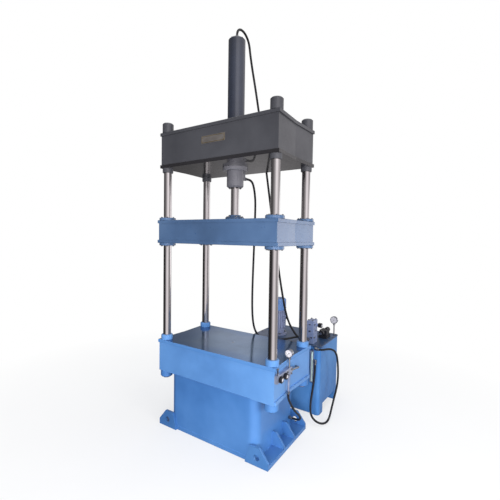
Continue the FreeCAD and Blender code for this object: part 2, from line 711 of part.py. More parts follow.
def cylinder_cap():
    z0, z1 = BARREL_TOP, CAP_TOP
    outer = BARREL_DIA / 2
    spigot = BARREL_BORE / 2 - RUNNING
    port = PORT_DIA / 2
    return turned([(port, z0 - SPIGOT), (spigot, z0 - SPIGOT), (spigot, z0), (outer, z0),
                   (outer, z1 - CAP_CHAMFER), (outer - CAP_CHAMFER, z1), (port, z1)])


def cylinder_ring_nut():
    return ring(0, 0, BARREL_DIA + 2 * RUNNING, RING_NUT_DIA,
                HEAD_BOTTOM - RING_NUT_HEIGHT, HEAD_BOTTOM, RING_NUT_CHAMFER, 0)


def cylinder_gland():
    z1 = BARREL_BOTTOM
    z0 = z1 - GLAND_HEIGHT
    outer = BARREL_DIA / 2
    bore = ROD_DIA / 2 + RUNNING
    spigot = BARREL_BORE / 2 - RUNNING
    return turned([(bore, z0), (outer - GLAND_CHAMFER, z0), (outer, z0 + GLAND_CHAMFER),
                   (outer, z1), (spigot, z1), (spigot, z1 + SPIGOT), (bore, z1 + SPIGOT)])


def piston_rod():
    neck_top = PISTON_LEVEL + PISTON_HEIGHT + PISTON_NUT_HEIGHT
    return turned([(0, SLIDE_TOP), (ROD_DIA / 2, SLIDE_TOP), (ROD_DIA / 2, PISTON_LEVEL),
                   (PISTON_NECK_DIA / 2, PISTON_LEVEL), (PISTON_NECK_DIA / 2, neck_top),
                   (0, neck_top)])


def piston():
    """Piston with two seal grooves, and the nut that holds it on the rod."""
    bore = PISTON_NECK_DIA / 2 + RUNNING
    outer = BARREL_BORE / 2 - RUNNING
    groove = outer - SEAL_DEPTH
    z = PISTON_LEVEL
    profile = [(bore, z), (outer, z)]
    for level in (z + SEAL_WIDTH, z + 3 * SEAL_WIDTH):
        profile += [(outer, level), (groove, level),
                    (groove, level + SEAL_WIDTH), (outer, level + SEAL_WIDTH)]
    profile += [(outer, z + PISTON_HEIGHT), (bore, z + PISTON_HEIGHT)]
    nut = ring(0, 0, PISTON_NECK_DIA + 2 * RUNNING, PISTON_NUT_DIA,
               z + PISTON_HEIGHT, z + PISTON_HEIGHT + PISTON_NUT_HEIGHT)
    return joined([turned(profile), nut])


def rod_flange():
    """Stepped flange that bolts the rod's foot to the slide."""
    z = SLIDE_TOP
    bore = ROD_DIA / 2 + RUNNING
    rim = ROD_FLANGE_DIA / 2
    hub = ROD_HUB_DIA / 2
    return turned([(bore, z), (rim, z), (rim, z + ROD_FLANGE - RIM_BREAK),
                   (rim - RIM_BREAK, z + ROD_FLANGE), (hub, z + ROD_FLANGE),
                   (hub, z + ROD_FLANGE + ROD_HUB), (bore, z + ROD_FLANGE + ROD_HUB)])


# ---- gauges and knobs ---------------------------------------------------

def gauge(x, y, z, dia, stem_bottom):
    """A round case facing the front, open for its dial, on a hexagon and a stem."""
    front = y - GAUGE_DEPTH / 2
    back = y + GAUGE_DEPTH / 2
    r = dia / 2
    dial = GAUGE_DEPTH - GAUGE_RECESS
    slim = r - GAUGE_FLARE
    case = turned_along([(0, 0), (slim, 0), (slim, GAUGE_BACK), (r, GAUGE_BACK + GAUGE_FLARE),
                         (r, GAUGE_DEPTH), (r - GAUGE_RIM, GAUGE_DEPTH),
                         (r - GAUGE_RIM, dial), (0, dial)], (x, back, z), (0, -1, 0))
    stem = post(x, y, stem_bottom, z - slim + 1, STEM_DIA)
    nut_top = z - r - GAUGE_NUT_GAP
    union = post(x, y, nut_top - GAUGE_NUT_HEIGHT, nut_top, GAUGE_NUT_DIA)
    pivot = rod((x, front + GAUGE_RECESS, z), (x, front + PIVOT_INSET, z), PIVOT_DIA)
    return joined([case, stem, union, pivot])


def needle(x, y, z, dia):
    """A pointer on the gauge's pivot, at the zero end of its dial."""
    front = y - GAUGE_DEPTH / 2
    near, far = (front + depth for depth in NEEDLE_HUB)
    hub = rod((x, far, z), (x, near, z), NEEDLE_HUB_DIA)
    blade = box(-NEEDLE_WIDTH / 2, NEEDLE_WIDTH / 2, -NEEDLE_THICK / 2, NEEDLE_THICK / 2,
                -NEEDLE_TAIL, dia * NEEDLE_REACH)
    blade.Placement = FreeCAD.Placement(V(x, (near + far) / 2, z),
                                        FreeCAD.Rotation(V(0, 1, 0), NEEDLE_ZERO))
    bore = rod((x, far + 1, z), (x, near - 1, z), PIVOT_DIA + 2 * RUNNING)
    return joined([hub, blade]).cut(bore)


def knob(x, y, z, dia, length):
    """A fluted hand knob on its spindle, pointing to the right."""
    r = dia / 2
    face = r - KNOB_RIM
    body = turned_along([(0, 0), (face, 0), (r, KNOB_SHOULDER), (r, length - KNOB_SHOULDER),
                         (face, length), (0, length)], (x, y, z), (1, 0, 0))
    flutes = []
    for i in range(FLUTES):
        turn = radians(360 * i / FLUTES)
        flute_y = y + (r + FLUTE_OFFSET) * cos(turn)
        flute_z = z + (r + FLUTE_OFFSET) * sin(turn)
        flutes.append(rod((x - 1, flute_y, flute_z), (x + length + 1, flute_y, flute_z),
                          r * FLUTE_SIZE))
    spindle = rod((x - SPINDLE_LENGTH, y, z), (x, y, z), SPINDLE_DIA)
    return joined([body.cut(Part.makeCompound(flutes)), spindle])


def spindle_hole(x, y, z):
    """The blind hole that a knob's spindle turns in, from a face at x."""
    return rod((x - SPINDLE_LENGTH - 1, y, z), (x + 1, y, z), SPINDLE_DIA + 2 * RUNNING)


# ---- side valve ---------------------------------------------------------

def side_wall_at(y):
    """Distance of the bed's right wall from the centre at a given depth."""
    return BED_HALF_X - SIDE_LIP - WAIST * (1 - abs(y) / (BED_FACE - WALL))


def valve_block():
    """Valve body on the bed's side wall, with its lever ears and drop pipe."""
    z0, z1 = VALVE_LEVEL - VALVE_HEIGHT / 2, VALVE_TOP
    body = box(side_wall_at(0), VALVE_FACE, VALVE_FRONT, VALVE_BACK, z0, z1)
    long_edges = [e for e in body.Edges if e.BoundBox.XMin > VALVE_FACE - 1
                  and e.BoundBox.YLength > 1]
    body = body.makeChamfer(VALVE_CHAMFER, long_edges)
    wall_outline = waisted(BED_HALF_X - SIDE_LIP, BED_FACE - WALL)
    front_outline = waisted(BED_HALF_X - SIDE_LIP, BED_FACE, 0)
    front_zone = box(0, BED_HALF_X, -BED_FACE, -BED_FACE + WALL, z0 - 1, z1 + 1)
    bed = prism(wall_outline, z0 - 1, z1 + 1)
    bed = bed.fuse(prism(front_outline, z0 - 1, z1 + 1).common(front_zone))
    body = body.cut(bed)
    body = body.cut(Part.makeCompound([spindle_hole(VALVE_FACE, y, VALVE_LEVEL)
                                       for y in KNOB_PLACES]))
    gap = LEVER_WIDTH / 2 + LOOSE
    half = LEVER_EAR_SIZE / 2
    ears = [box(x, x + LEVER_EAR, LEVER_Y - half, LEVER_Y + half, z1, LEVER_PIN_Z + half)
            for x in (LEVER_X - gap - LEVER_EAR, LEVER_X + gap)]
    pin = rod((LEVER_X - gap - LEVER_EAR, LEVER_Y, LEVER_PIN_Z),
              (LEVER_X + gap + LEVER_EAR, LEVER_Y, LEVER_PIN_Z), LEVER_PIN_DIA)
    drop = post(VALVE_AXIS_X, DROP_PIPE_Y, DROP_PIPE_END, z0, LINE_PIPE_DIA)
    union = post(VALVE_AXIS_X, DROP_PIPE_Y, z0 - UNION_LENGTH, z0, UNION_DIA)
    return joined([body, pin, drop, union] + ears)


def valve_lever():
    """A flat hand lever on the valve's pin, with a round grip on top."""
    z = LEVER_PIN_Z
    x0, x1 = LEVER_X - LEVER_WIDTH / 2, LEVER_X + LEVER_WIDTH / 2
    arm = box(x0, x1, LEVER_Y - LEVER_THICK / 2, LEVER_Y + LEVER_THICK / 2,
              z, z + LEVER_LENGTH)
    eye = rod((x0, LEVER_Y, z), (x1, LEVER_Y, z), LEVER_EYE_DIA)
    grip = Part.makeSphere(LEVER_GRIP_DIA / 2,
                           V(LEVER_X, LEVER_Y, z + LEVER_LENGTH + LEVER_GRIP_RISE))
    bore = rod((x0 - 1, LEVER_Y, z), (x1 + 1, LEVER_Y, z), LEVER_PIN_DIA + 2 * RUNNING)
    return joined([arm, eye, grip]).cut(bore)


def side_pipe():
    """Steel line from the valve, falling along the bed and into its side wall."""
    high = VALVE_LEVEL - LINE_PIPE_DROP
    low = VALVE_LEVEL - LINE_PIPE_FALL
    wall = side_wall_at(LINE_PIPE_BACK) + 2 * LOOSE
    route = [(VALVE_AXIS_X, VALVE_BACK, high), (VALVE_AXIS_X, VALVE_BACK + LINE_PIPE_LEAD, high),
             (VALVE_AXIS_X, LINE_PIPE_BACK, low), (wall, LINE_PIPE_BACK, low)]
    return bent_tube("side_pipe", route, LINE_PIPE_DIA)


# ---- oil tank -----------------------------------------------------------

def oil_tank():
    outer = rounded(TANK_LEFT, TANK_RIGHT, TANK_FRONT, TANK_BACK,
                    TANK_FLOOR, TANK_LID_BOTTOM, TANK_CORNER)
    inner = rounded(TANK_LEFT + TANK_SKIN, TANK_RIGHT - TANK_SKIN,
                    TANK_FRONT + TANK_SKIN, TANK_BACK - TANK_SKIN,
                    TANK_FLOOR + TANK_SKIN, TANK_LID_BOTTOM + 1, TANK_CORNER - TANK_SKIN)
    leg_x, leg_y = TANK_LEG
    legs = []
    for x in (TANK_LEFT, TANK_RIGHT - leg_x):
        for y in (TANK_FRONT, TANK_BACK - leg_y):
            legs.append(box(x, x + leg_x, y, y + leg_y, 0, TANK_FLOOR))
    footprint = rounded(TANK_LEFT, TANK_RIGHT, TANK_FRONT, TANK_BACK, 0, TANK_FLOOR, TANK_CORNER)
    legs = Part.makeCompound(legs).common(footprint)
    return joined([outer.cut(inner), legs])


def tank_lid():
    lid = rounded(TANK_LEFT - LID_LIP, TANK_RIGHT + LID_LIP, TANK_FRONT - LID_LIP,
                  TANK_BACK + LID_LIP, TANK_LID_BOTTOM, TANK_TOP, TANK_CORNER + LID_LIP)
    shaft_hole = post(MOTOR_X, MOTOR_Y, TANK_LID_BOTTOM - 1, TANK_TOP + 1, SHAFT_HOLE_DIA)
    filler_hole = post(FILLER_X, FILLER_Y, TANK_LID_BOTTOM - 1, TANK_TOP + 1,
                       FILLER_THROAT_DIA)
    return lid.cut(Part.makeCompound([shaft_hole, filler_hole]))


def filler_neck():
    z = TANK_TOP
    throat, neck, flange = FILLER_THROAT_DIA / 2, FILLER_NECK_DIA / 2, FILLER_FLANGE_DIA / 2
    return turned([(throat, z), (flange, z), (flange, z + FILLER_FLANGE),
                   (neck, z + FILLER_FLANGE), (neck, z + FILLER_NECK),
                   (throat, z + FILLER_NECK)], FILLER_X, FILLER_Y)


def filler_cap():
    """Breather cap that turns on the neck."""
    skirt = TANK_TOP + FILLER_FLANGE + LOOSE
    seat = TANK_TOP + FILLER_NECK + LOOSE
    top = skirt + FILLER_CAP
    r = FILLER_DIA / 2
    bore = FILLER_NECK_DIA / 2 + LOOSE
    low, high = FILLER_CAP_CHAMFER
    return turned([(bore, skirt), (r - low, skirt), (r, skirt + low), (r, top - high),
                   (r - high, top), (0, top), (0, seat), (bore, seat)], FILLER_X, FILLER_Y)


# ---- motor and pump -----------------------------------------------------

def motor_levels():
    flange_top = TANK_TOP + MOTOR_FLANGE
    body_bottom = flange_top + MOTOR_NECK
    cover_bottom = MOTOR_TOP - FAN_COVER_HEIGHT
    return flange_top, body_bottom, cover_bottom


def motor_housing():
    """Flange, ribbed body with its end shields, and the terminal box."""
    flange_top, body_bottom, cover_bottom = motor_levels()
    core = MOTOR_DIA / 2 - RIB_HEIGHT
    bore = SHAFT_DIA / 2 + RUNNING
    hollow = core - MOTOR_WALL
    top = cover_bottom + MOTOR_SPIGOT
    floor = body_bottom + MOTOR_SHIELD
    ceiling = top - MOTOR_SHIELD
    profile = [(bore, TANK_TOP), (MOTOR_FLANGE_DIA / 2, TANK_TOP),
               (MOTOR_FLANGE_DIA / 2, flange_top), (core - MOTOR_NECK_SLOPE, flange_top),
               (core, body_bottom), (core, top), (bore, top), (bore, ceiling),
               (hollow, ceiling), (hollow, floor), (bore, floor)]
    body = turned(profile, MOTOR_X, MOTOR_Y)
    ribs = []
    for i in range(RIB_COUNT):
        rib = box(core - 1, MOTOR_DIA / 2, -RIB_THICK / 2, RIB_THICK / 2,
                  body_bottom + RIB_ENDS[0], cover_bottom - RIB_ENDS[1])
        rib.rotate(V(0, 0, 0), V(0, 0, 1), 360 * (i + 0.5) / RIB_COUNT)
        rib.translate(V(MOTOR_X, MOTOR_Y, 0))
        ribs.append(rib)
    width, depth, height = TERMINAL_BOX
    lid_y = MOTOR_Y + MOTOR_DIA / 2 + TERMINAL_BOX_REACH
    box_z = body_bottom + TERMINAL_BOX_RISE
    terminal_box = box(MOTOR_X - width / 2, MOTOR_X + width / 2, lid_y - depth, lid_y,
                       box_z, box_z + height)
    lid_edges = [e for e in terminal_box.Edges if e.BoundBox.YMin > lid_y - 1]
    terminal_box = terminal_box.makeFillet(TERMINAL_BOX_CORNER, lid_edges)
    hollow_space = post(MOTOR_X, MOTOR_Y, floor, ceiling, 2 * hollow)
    return joined([body, terminal_box.cut(hollow_space)] + ribs)


def motor_fan_cover():
    """Pressed steel hood with a ring of air slots in its top."""
    cover_bottom = motor_levels()[2]
    r = MOTOR_DIA / 2
    t = FAN_COVER_SKIN
    core = r - RIB_HEIGHT
    c = FAN_COVER_CORNER
    hood = turned([(r - t, cover_bottom), (r, cover_bottom), (r, MOTOR_TOP - c),
                   (r - c, MOTOR_TOP), (0, MOTOR_TOP), (0, MOTOR_TOP - t),
                   (r - c - t / 2, MOTOR_TOP - t), (r - t, MOTOR_TOP - c - t / 2)],
                  MOTOR_X, MOTOR_Y)
    low, high = (cover_bottom + level for level in FAN_COVER_SEAT)
    seat = turned([(core, low), (r - t, low), (r - t, high), (core, high)], MOTOR_X, MOTOR_Y)
    inner, outer = (r * share for share in FAN_SLOT_SPAN)
    slots = []
    for i in range(FAN_SLOTS):
        slot = box(inner, outer, -FAN_SLOT_WIDTH / 2, FAN_SLOT_WIDTH / 2,
                   MOTOR_TOP - t - 1, MOTOR_TOP + 1)
        slot.rotate(V(0, 0, 0), V(0, 0, 1), 360 * i / FAN_SLOTS)
        slot.translate(V(MOTOR_X, MOTOR_Y, 0))
        slots.append(slot)
    return joined([hood, seat]).cut(Part.makeCompound(slots))


def motor_rotor():
    """Shaft with the rotor core and the cooling fan."""
    body_bottom, cover_bottom = motor_levels()[1:]
    fan_bottom = cover_bottom + FAN_LEVEL
    pump_top = TANK_LID_BOTTOM - PUMP_NECK_LENGTH
    coupling_bottom = pump_top + PUMP_NECK_FLOOR + COUPLING_RISE
    shaft = post(MOTOR_X, MOTOR_Y, coupling_bottom, fan_bottom + FAN_HEIGHT, SHAFT_DIA)
    coupling = post(MOTOR_X, MOTOR_Y, coupling_bottom, coupling_bottom + COUPLING_LENGTH,
                    COUPLING_DIA)
    pump_shaft = post(MOTOR_X, MOTOR_Y, pump_top + PUMP_SHAFT_TIP, coupling_bottom,
                      PUMP_SHAFT_DIA)
    core = post(MOTOR_X, MOTOR_Y, body_bottom + ROTOR_ENDS[0], cover_bottom - ROTOR_ENDS[1],
                ROTOR_DIA)
    disc = post(MOTOR_X, MOTOR_Y, fan_bottom, fan_bottom + FAN_DISC, FAN_DIA)
    blades = []
    for i in range(FAN_BLADES):
        blade = box(SHAFT_DIA / 2 - 1, FAN_DIA / 2, -FAN_BLADE_THICK / 2, FAN_BLADE_THICK / 2,
                    fan_bottom, fan_bottom + FAN_HEIGHT)
        blade.rotate(V(0, 0, 0), V(0, 0, 1), 360 * i / FAN_BLADES)
        blade.translate(V(MOTOR_X, MOTOR_Y, 0))
        blades.append(blade)
    return joined([shaft, coupling, pump_shaft, core, disc] + blades)


def gear_pump():
    """Pump hung under the lid, with its neck, suction pipe and strainer."""
    top = TANK_LID_BOTTOM
    neck_bottom = top - PUMP_NECK_LENGTH
    width, depth, height = PUMP_BODY
    r = PUMP_NECK_DIA / 2
    bore = r - PUMP_NECK_WALL
    reach, thick = PUMP_FLANGE
    neck = turned([(bore, top), (r + reach, top), (r + reach, top - thick), (r, top - thick),
                   (r, neck_bottom), (0, neck_bottom), (0, neck_bottom + PUMP_NECK_FLOOR),
                   (bore, neck_bottom + PUMP_NECK_FLOOR)], MOTOR_X, MOTOR_Y)
    shaft_hole = post(MOTOR_X, MOTOR_Y, neck_bottom + 1, top, PUMP_SHAFT_DIA + 2 * RUNNING)
    body = rounded(MOTOR_X - width / 2, MOTOR_X + width / 2, MOTOR_Y - depth / 2,
                   MOTOR_Y + depth / 2, neck_bottom - height, neck_bottom, PUMP_BODY_CORNER)
    strainer_bottom = TANK_FLOOR + TANK_SKIN + STRAINER_FLOOR
    strainer_top = strainer_bottom + STRAINER_HEIGHT
    suction = post(MOTOR_X, MOTOR_Y, strainer_top, neck_bottom - height, SUCTION_DIA)
    wide, c = STRAINER_DIA / 2, STRAINER_CHAMFER
    strainer = turned([(0, strainer_bottom), (wide, strainer_bottom), (wide, strainer_top - c),
                       (wide - c, strainer_top), (0, strainer_top)], MOTOR_X, MOTOR_Y)
    return joined([neck, body, suction, strainer]).cut(shaft_hole)


# ---- valves on the lid --------------------------------------------------

def manifold_block():
    """Stacked valve block with its relief cartridge and pressure ports."""
    width, depth, height = MANIFOLD
    x0, y0 = MANIFOLD_X - width / 2, MANIFOLD_Y - depth / 2
    x1, y1, z1 = x0 + width, y0 + depth, TANK_TOP + height
    body = box(x0, x1, y0, y1, TANK_TOP, z1)
    top_edges = [e for e in body.Edges if e.BoundBox.ZMin > TANK_TOP + 1]
    body = body.makeChamfer(MANIFOLD_CHAMFER, top_edges)
    joint_lines = []
    d = JOINT_DEPTH
    for level in STACK_JOINTS:
        low = TANK_TOP + level - JOINT_WIDTH / 2
        slab = box(x0 - 1, x1 + 1, y0 - 1, y1 + 1, low, low + JOINT_WIDTH)
        core = box(x0 + d, x1 - d, y0 + d, y1 - d, low - 1, low + JOINT_WIDTH + 1)
        joint_lines.append(slab.cut(core))
    body = body.cut(Part.makeCompound(joint_lines))
    end = x1 + CARTRIDGE_LENGTH
    cartridge = rod((x1, RELIEF_Y, RELIEF_LEVEL), (end, RELIEF_Y, RELIEF_LEVEL), CARTRIDGE_DIA)
    return joined([body, cartridge]).cut(spindle_hole(end, RELIEF_Y, RELIEF_LEVEL))


def relief_knob():
    x = MANIFOLD_RIGHT + CARTRIDGE_LENGTH + KNOB_GAP
    return knob(x, RELIEF_Y, RELIEF_LEVEL, RELIEF_KNOB_DIA, RELIEF_KNOB_LENGTH)


def solenoid_valve():
    """Directional valve with a coil at each end, on its sub-plate."""
    width, depth, height = SOLENOID_BLOCK
    x0, x1 = SOLENOID_X - width / 2, SOLENOID_X + width / 2
    y0, y1 = SOLENOID_Y - depth / 2, SOLENOID_Y + depth / 2
    top = TANK_TOP + height
    wide, deep, rise = SUB_PLATE
    seat = TANK_TOP + rise
    sub_plate = box(x0 - wide, x1 + wide, y0 - deep, y1 + deep, TANK_TOP, seat)
    body = box(x0, x1, y0, y1, seat, top)
    level = (seat + top) / 2 + COIL_RISE
    nut_dia, nut_length = COIL_NUT
    pieces = [sub_plate, body]
    for side, face in ((-1, y0), (1, y1)):
        coil_end = face + side * COIL_LENGTH
        nut_end = coil_end + side * nut_length
        pieces.append(rod((SOLENOID_X, face, level), (SOLENOID_X, coil_end, level), COIL_DIA))
        pieces.append(rod((SOLENOID_X, coil_end, level), (SOLENOID_X, nut_end, level), nut_dia))
    return joined(pieces)


# ---- hose ends ----------------------------------------------------------

def hose_fittings():
    """Hose ends on the cylinder, on the valve stack and under the side valve."""
    way = V(0, 0, 1)
    cap = V(0, 0, CAP_TOP)
    port = V(0, 0, PORT_LEVEL) + PORT_WAY * PORT_FACE
    stack_front = V(HEAD_PORT[0], MANIFOLD_FRONT, HEAD_PORT[1])
    stack_left = V(MANIFOLD_LEFT, GLAND_PORT[0], GLAND_PORT[1])
    pipe_end = V(VALVE_AXIS_X, DROP_PIPE_Y, DROP_PIPE_END)
    return Part.makeCompound([
        fitting(cap, cap + way * FITTING_LENGTH, HEAD_HOSE_DIA),
        fitting(port, port + PORT_WAY * SHORT_FITTING, GLAND_HOSE_DIA),
        fitting(stack_front, stack_front - V(0, FITTING_LENGTH, 0), HEAD_HOSE_DIA),
        fitting(stack_left, stack_left - V(FITTING_LENGTH, 0, 0), GLAND_HOSE_DIA),
        fitting(pipe_end, pipe_end - way * SHORT_FITTING, DROP_HOSE_DIA),
    ])


def elbow(port, way, hose_dia):
    """An elbow on the tank's front, and the hose end that leaves it one way."""
    centre = port - V(0, ELBOW_REACH, 0)
    stem = rod(port, centre, hose_dia * ELBOW_STEM)
    ball = Part.makeSphere(hose_dia * ELBOW_BALL / 2, centre)
    return joined([stem, ball, fitting(centre, centre + way * FITTING_LENGTH, hose_dia)])


def tank_fittings():
    """Hose ends on the tank's front and on the base shell."""
    high = V(LOOP_PORT_X, TANK_FRONT, LOOP_PORT_HIGH)
    low = V(LOOP_PORT_X, TANK_FRONT, LOOP_PORT_LOW)
    base = V(BASE_HALF, BASE_PORT[0], BASE_PORT[1])
    return Part.makeCompound([
        elbow(high, V(1, 0, 0), LOOP_HOSE_DIA),
        elbow(low, V(0, 0, -1), LOOP_HOSE_DIA),
        fitting(base, base + V(FITTING_LENGTH, 0, 0), DROP_HOSE_DIA),
    ])


# ---- everything, one file for each node ---------------------------------

def build():
    knob_x = VALVE_FACE + KNOB_GAP
    nodes = {
        "base_plate": base_plate(),
        "base_shell": base_shell(),
        "foot_left": foot(-1),
        "foot_right": foot(1),
        "bed_bottom_plate": bed_bottom_plate(),
        "bed_front_plate": bed_face_plate(-1),
        "bed_back_plate": bed_face_plate(1),
        "bed_side_left": bed_side(-1),
        "bed_side_right": bed_side(1),
        "table_plate": table_plate(),
        "head_bottom_plate": head_bottom_plate(),
        "head_walls": head_walls(),
        "head_top_plate": head_top_plate(),
        "nameplate": nameplate(),
        "top_nuts": at_each_column(top_nut),
        "head_collars": at_each_column(head_collar),
        "table_collars": at_each_column(table_collar),
        "bottom_nuts": at_each_column(bottom_nut),
        "slide_bottom_plate": slide_bottom_plate(),
        "slide_walls": slide_walls(),
        "slide_top_plate": slide_top_plate(),
        "guide_bushes": at_each_column(guide_bushes),
        "cylinder_barrel": cylinder_barrel(),
        "cylinder_cap": cylinder_cap(),
        "cylinder_ring_nut": cylinder_ring_nut(),
        "cylinder_gland": cylinder_gland(),
        "piston_rod": piston_rod(),
        "piston": piston(),
        "rod_flange": rod_flange(),
        "valve_block": valve_block(),
        "valve_lever": valve_lever(),
        "pressure_knob": knob(knob_x, KNOB_PLACES[0], VALVE_LEVEL, KNOB_DIA, KNOB_LENGTH),
        "speed_knob": knob(knob_x, KNOB_PLACES[1], VALVE_LEVEL, KNOB_DIA, KNOB_LENGTH),
        "side_gauge": gauge(VALVE_AXIS_X, SIDE_GAUGE_Y, SIDE_GAUGE_Z, SIDE_GAUGE_DIA, VALVE_TOP),
        "side_needle": needle(VALVE_AXIS_X, SIDE_GAUGE_Y, SIDE_GAUGE_Z, SIDE_GAUGE_DIA),
        "side_pipe": side_pipe(),
        "oil_tank": oil_tank(),
        "tank_lid": tank_lid(),
        "filler_neck": filler_neck(),
        "filler_cap": filler_cap(),
        "motor_housing": motor_housing(),
        "motor_fan_cover": motor_fan_cover(),
        "motor_rotor": motor_rotor(),
        "gear_pump": gear_pump(),
        "manifold_block": manifold_block(),
        "relief_knob": relief_knob(),
        "solenoid_valve": solenoid_valve(),
        "tank_gauge": gauge(TANK_GAUGE_X, TANK_GAUGE_Y, TANK_GAUGE_Z, TANK_GAUGE_DIA, TANK_TOP),
        "tank_needle": needle(TANK_GAUGE_X, TANK_GAUGE_Y, TANK_GAUGE_Z, TANK_GAUGE_DIA),
        "hose_fittings": hose_fittings(),
        "tank_fittings": tank_fittings(),
        "head_hose": bent_tube("head_hose", HEAD_HOSE_ROUTE, HEAD_HOSE_DIA),
        "gland_hose": bent_tube("gland_hose", GLAND_HOSE_ROUTE, GLAND_HOSE_DIA),
        "drop_hose": bent_tube("drop_hose", DROP_HOSE_ROUTE, DROP_HOSE_DIA),
        "loop_hose": bent_tube("loop_hose", LOOP_HOSE_ROUTE, LOOP_HOSE_DIA),
    }
    for place, (x, y) in CORNERS.items():
        nodes[f"column_{place}"] = column(x, y)
    return nodes


os.makedirs("parts", exist_ok=True)
for name, shape in build().items():
    shape.exportStep(f"parts/{name}.step")
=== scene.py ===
import math

import bmesh
import bpy
from mathutils import Matrix, Vector


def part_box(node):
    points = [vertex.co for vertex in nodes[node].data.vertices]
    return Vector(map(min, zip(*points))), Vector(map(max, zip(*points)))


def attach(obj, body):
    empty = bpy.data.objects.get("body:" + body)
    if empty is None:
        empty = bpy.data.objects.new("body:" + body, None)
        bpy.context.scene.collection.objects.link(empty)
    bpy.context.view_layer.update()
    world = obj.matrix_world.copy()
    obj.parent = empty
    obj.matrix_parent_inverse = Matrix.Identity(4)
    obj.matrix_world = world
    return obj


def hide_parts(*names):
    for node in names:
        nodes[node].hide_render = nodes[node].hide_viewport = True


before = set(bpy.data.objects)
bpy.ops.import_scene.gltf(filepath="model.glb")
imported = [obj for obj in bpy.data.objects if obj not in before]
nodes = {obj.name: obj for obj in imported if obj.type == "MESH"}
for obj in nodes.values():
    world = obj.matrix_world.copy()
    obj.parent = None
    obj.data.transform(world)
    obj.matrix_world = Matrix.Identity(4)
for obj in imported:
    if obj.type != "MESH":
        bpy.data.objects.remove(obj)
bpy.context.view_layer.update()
print("frame loaded")

# Place in metres, turns in degrees, lens in millimetres.
cameraSet = {
    "place": (1.582, -2.197, 1.546), "azimuth": 33.09, "pitch": -2.25, "roll": 0.86, "lens": 24.34,
    "sensor": 36, "far": 200}


def makeCamera(s):
    azimuth, pitch, roll = (math.radians(s[k]) for k in ("azimuth", "pitch", "roll"))
    flat = math.cos(pitch)
    forward = Vector((-math.sin(azimuth) * flat, math.cos(azimuth) * flat, math.sin(pitch)))
    level = Vector((math.cos(azimuth), math.sin(azimuth), 0))
    rise = level.cross(forward)
    right = level * math.cos(roll) + rise * math.sin(roll)
    up = rise * math.cos(roll) - level * math.sin(roll)
    data = bpy.data.cameras.new("camera")
    data.lens = s["lens"]
    data.sensor_width = s["sensor"]
    data.clip_end = s["far"]
    camera = bpy.data.objects.new("camera", data)
    turn = Matrix((right, up, -forward)).transposed()
    camera.matrix_world = Matrix.Translation(s["place"]) @ turn.to_4x4()
    bpy.context.collection.objects.link(camera)
    bpy.context.scene.camera = camera


makeCamera(cameraSet)


def linear(code):  # an sRGB hex value as linear light
    out = []
    for i in (0, 2, 4):
        c = int(code[i:i + 2], 16) / 255
        out.append(c / 12.92 if c <= 0.04045 else ((c + 0.055) / 1.055) ** 2.4)
    return (*out, 1)


def grey(value):
    return (value, value, value, 1)


def addNode(tree, kind, inputs=None, **settings):
    node = tree.nodes.new(kind)
    for key, value in settings.items():
        setattr(node, key, value)
    for key, value in (inputs or {}).items():
        if isinstance(value, bpy.types.NodeSocket):
            tree.links.new(value, node.inputs[key])
        else:
            node.inputs[key].default_value = value
    return node


def ramp(tree, factor, stops):
    node = addNode(tree, "ShaderNodeValToRGB", {"Fac": factor})
    band = node.color_ramp
    while len(band.elements) < len(stops):
        band.elements.new(0.5)
    for element, (place, colour) in zip(band.elements, stops):
        element.position = place
        element.color = colour if len(colour) == 4 else (*colour, 1)
    return node.outputs["Color"]


def mixColour(tree, factor, a, b, blend="MIX"):
    node = addNode(tree, "ShaderNodeMix", {0: factor, 6: a, 7: b}, data_type="RGBA", blend_type=blend)
    return node.outputs[2]


def sums(tree, a, b, operation="MULTIPLY"):
    return addNode(tree, "ShaderNodeMath", {0: a, 1: b}, operation=operation).outputs[0]


# size is one blotch of the pattern, in millimetres
def noise(tree, place, size, detail=3, rough=0.55, stretch=None):
    if stretch:
        place = addNode(tree, "ShaderNodeMapping", {"Vector": place, "Scale": stretch}).outputs["Vector"]
    inputs = {"Vector": place, "Scale": 1000 / size, "Detail": detail, "Roughness": rough}
    return addNode(tree, "ShaderNodeTexNoise", inputs).outputs["Fac"]


def newMaterial(name):
    material = bpy.data.materials.new(name)
    material.use_nodes = True
    tree = material.node_tree
    shader = tree.nodes["Principled BSDF"]
    place = addNode(tree, "ShaderNodeTexCoord").outputs["Object"]
    return material, tree, shader, place


# Each layer is a height, a strength and a depth in metres; edge is the radius of a shaded round on edges
def bumps(tree, shader, layers, edge=0.0):
    normal = None
    if edge:
        normal = addNode(tree, "ShaderNodeBevel", {"Radius": edge}, samples=4).outputs["Normal"]
    for height, strength, distance in layers:
        inputs = {"Height": height, "Strength": strength, "Distance": distance}
        if normal:
            inputs["Normal"] = normal
        normal = addNode(tree, "ShaderNodeBump", inputs).outputs["Normal"]
    tree.links.new(normal, shader.inputs["Normal"])


# How far a face looks up, from -1 to 1
def upward(tree):
    normal = addNode(tree, "ShaderNodeNewGeometry").outputs["Normal"]
    return addNode(tree, "ShaderNodeSeparateXYZ", {"Vector": normal}).outputs["Z"]


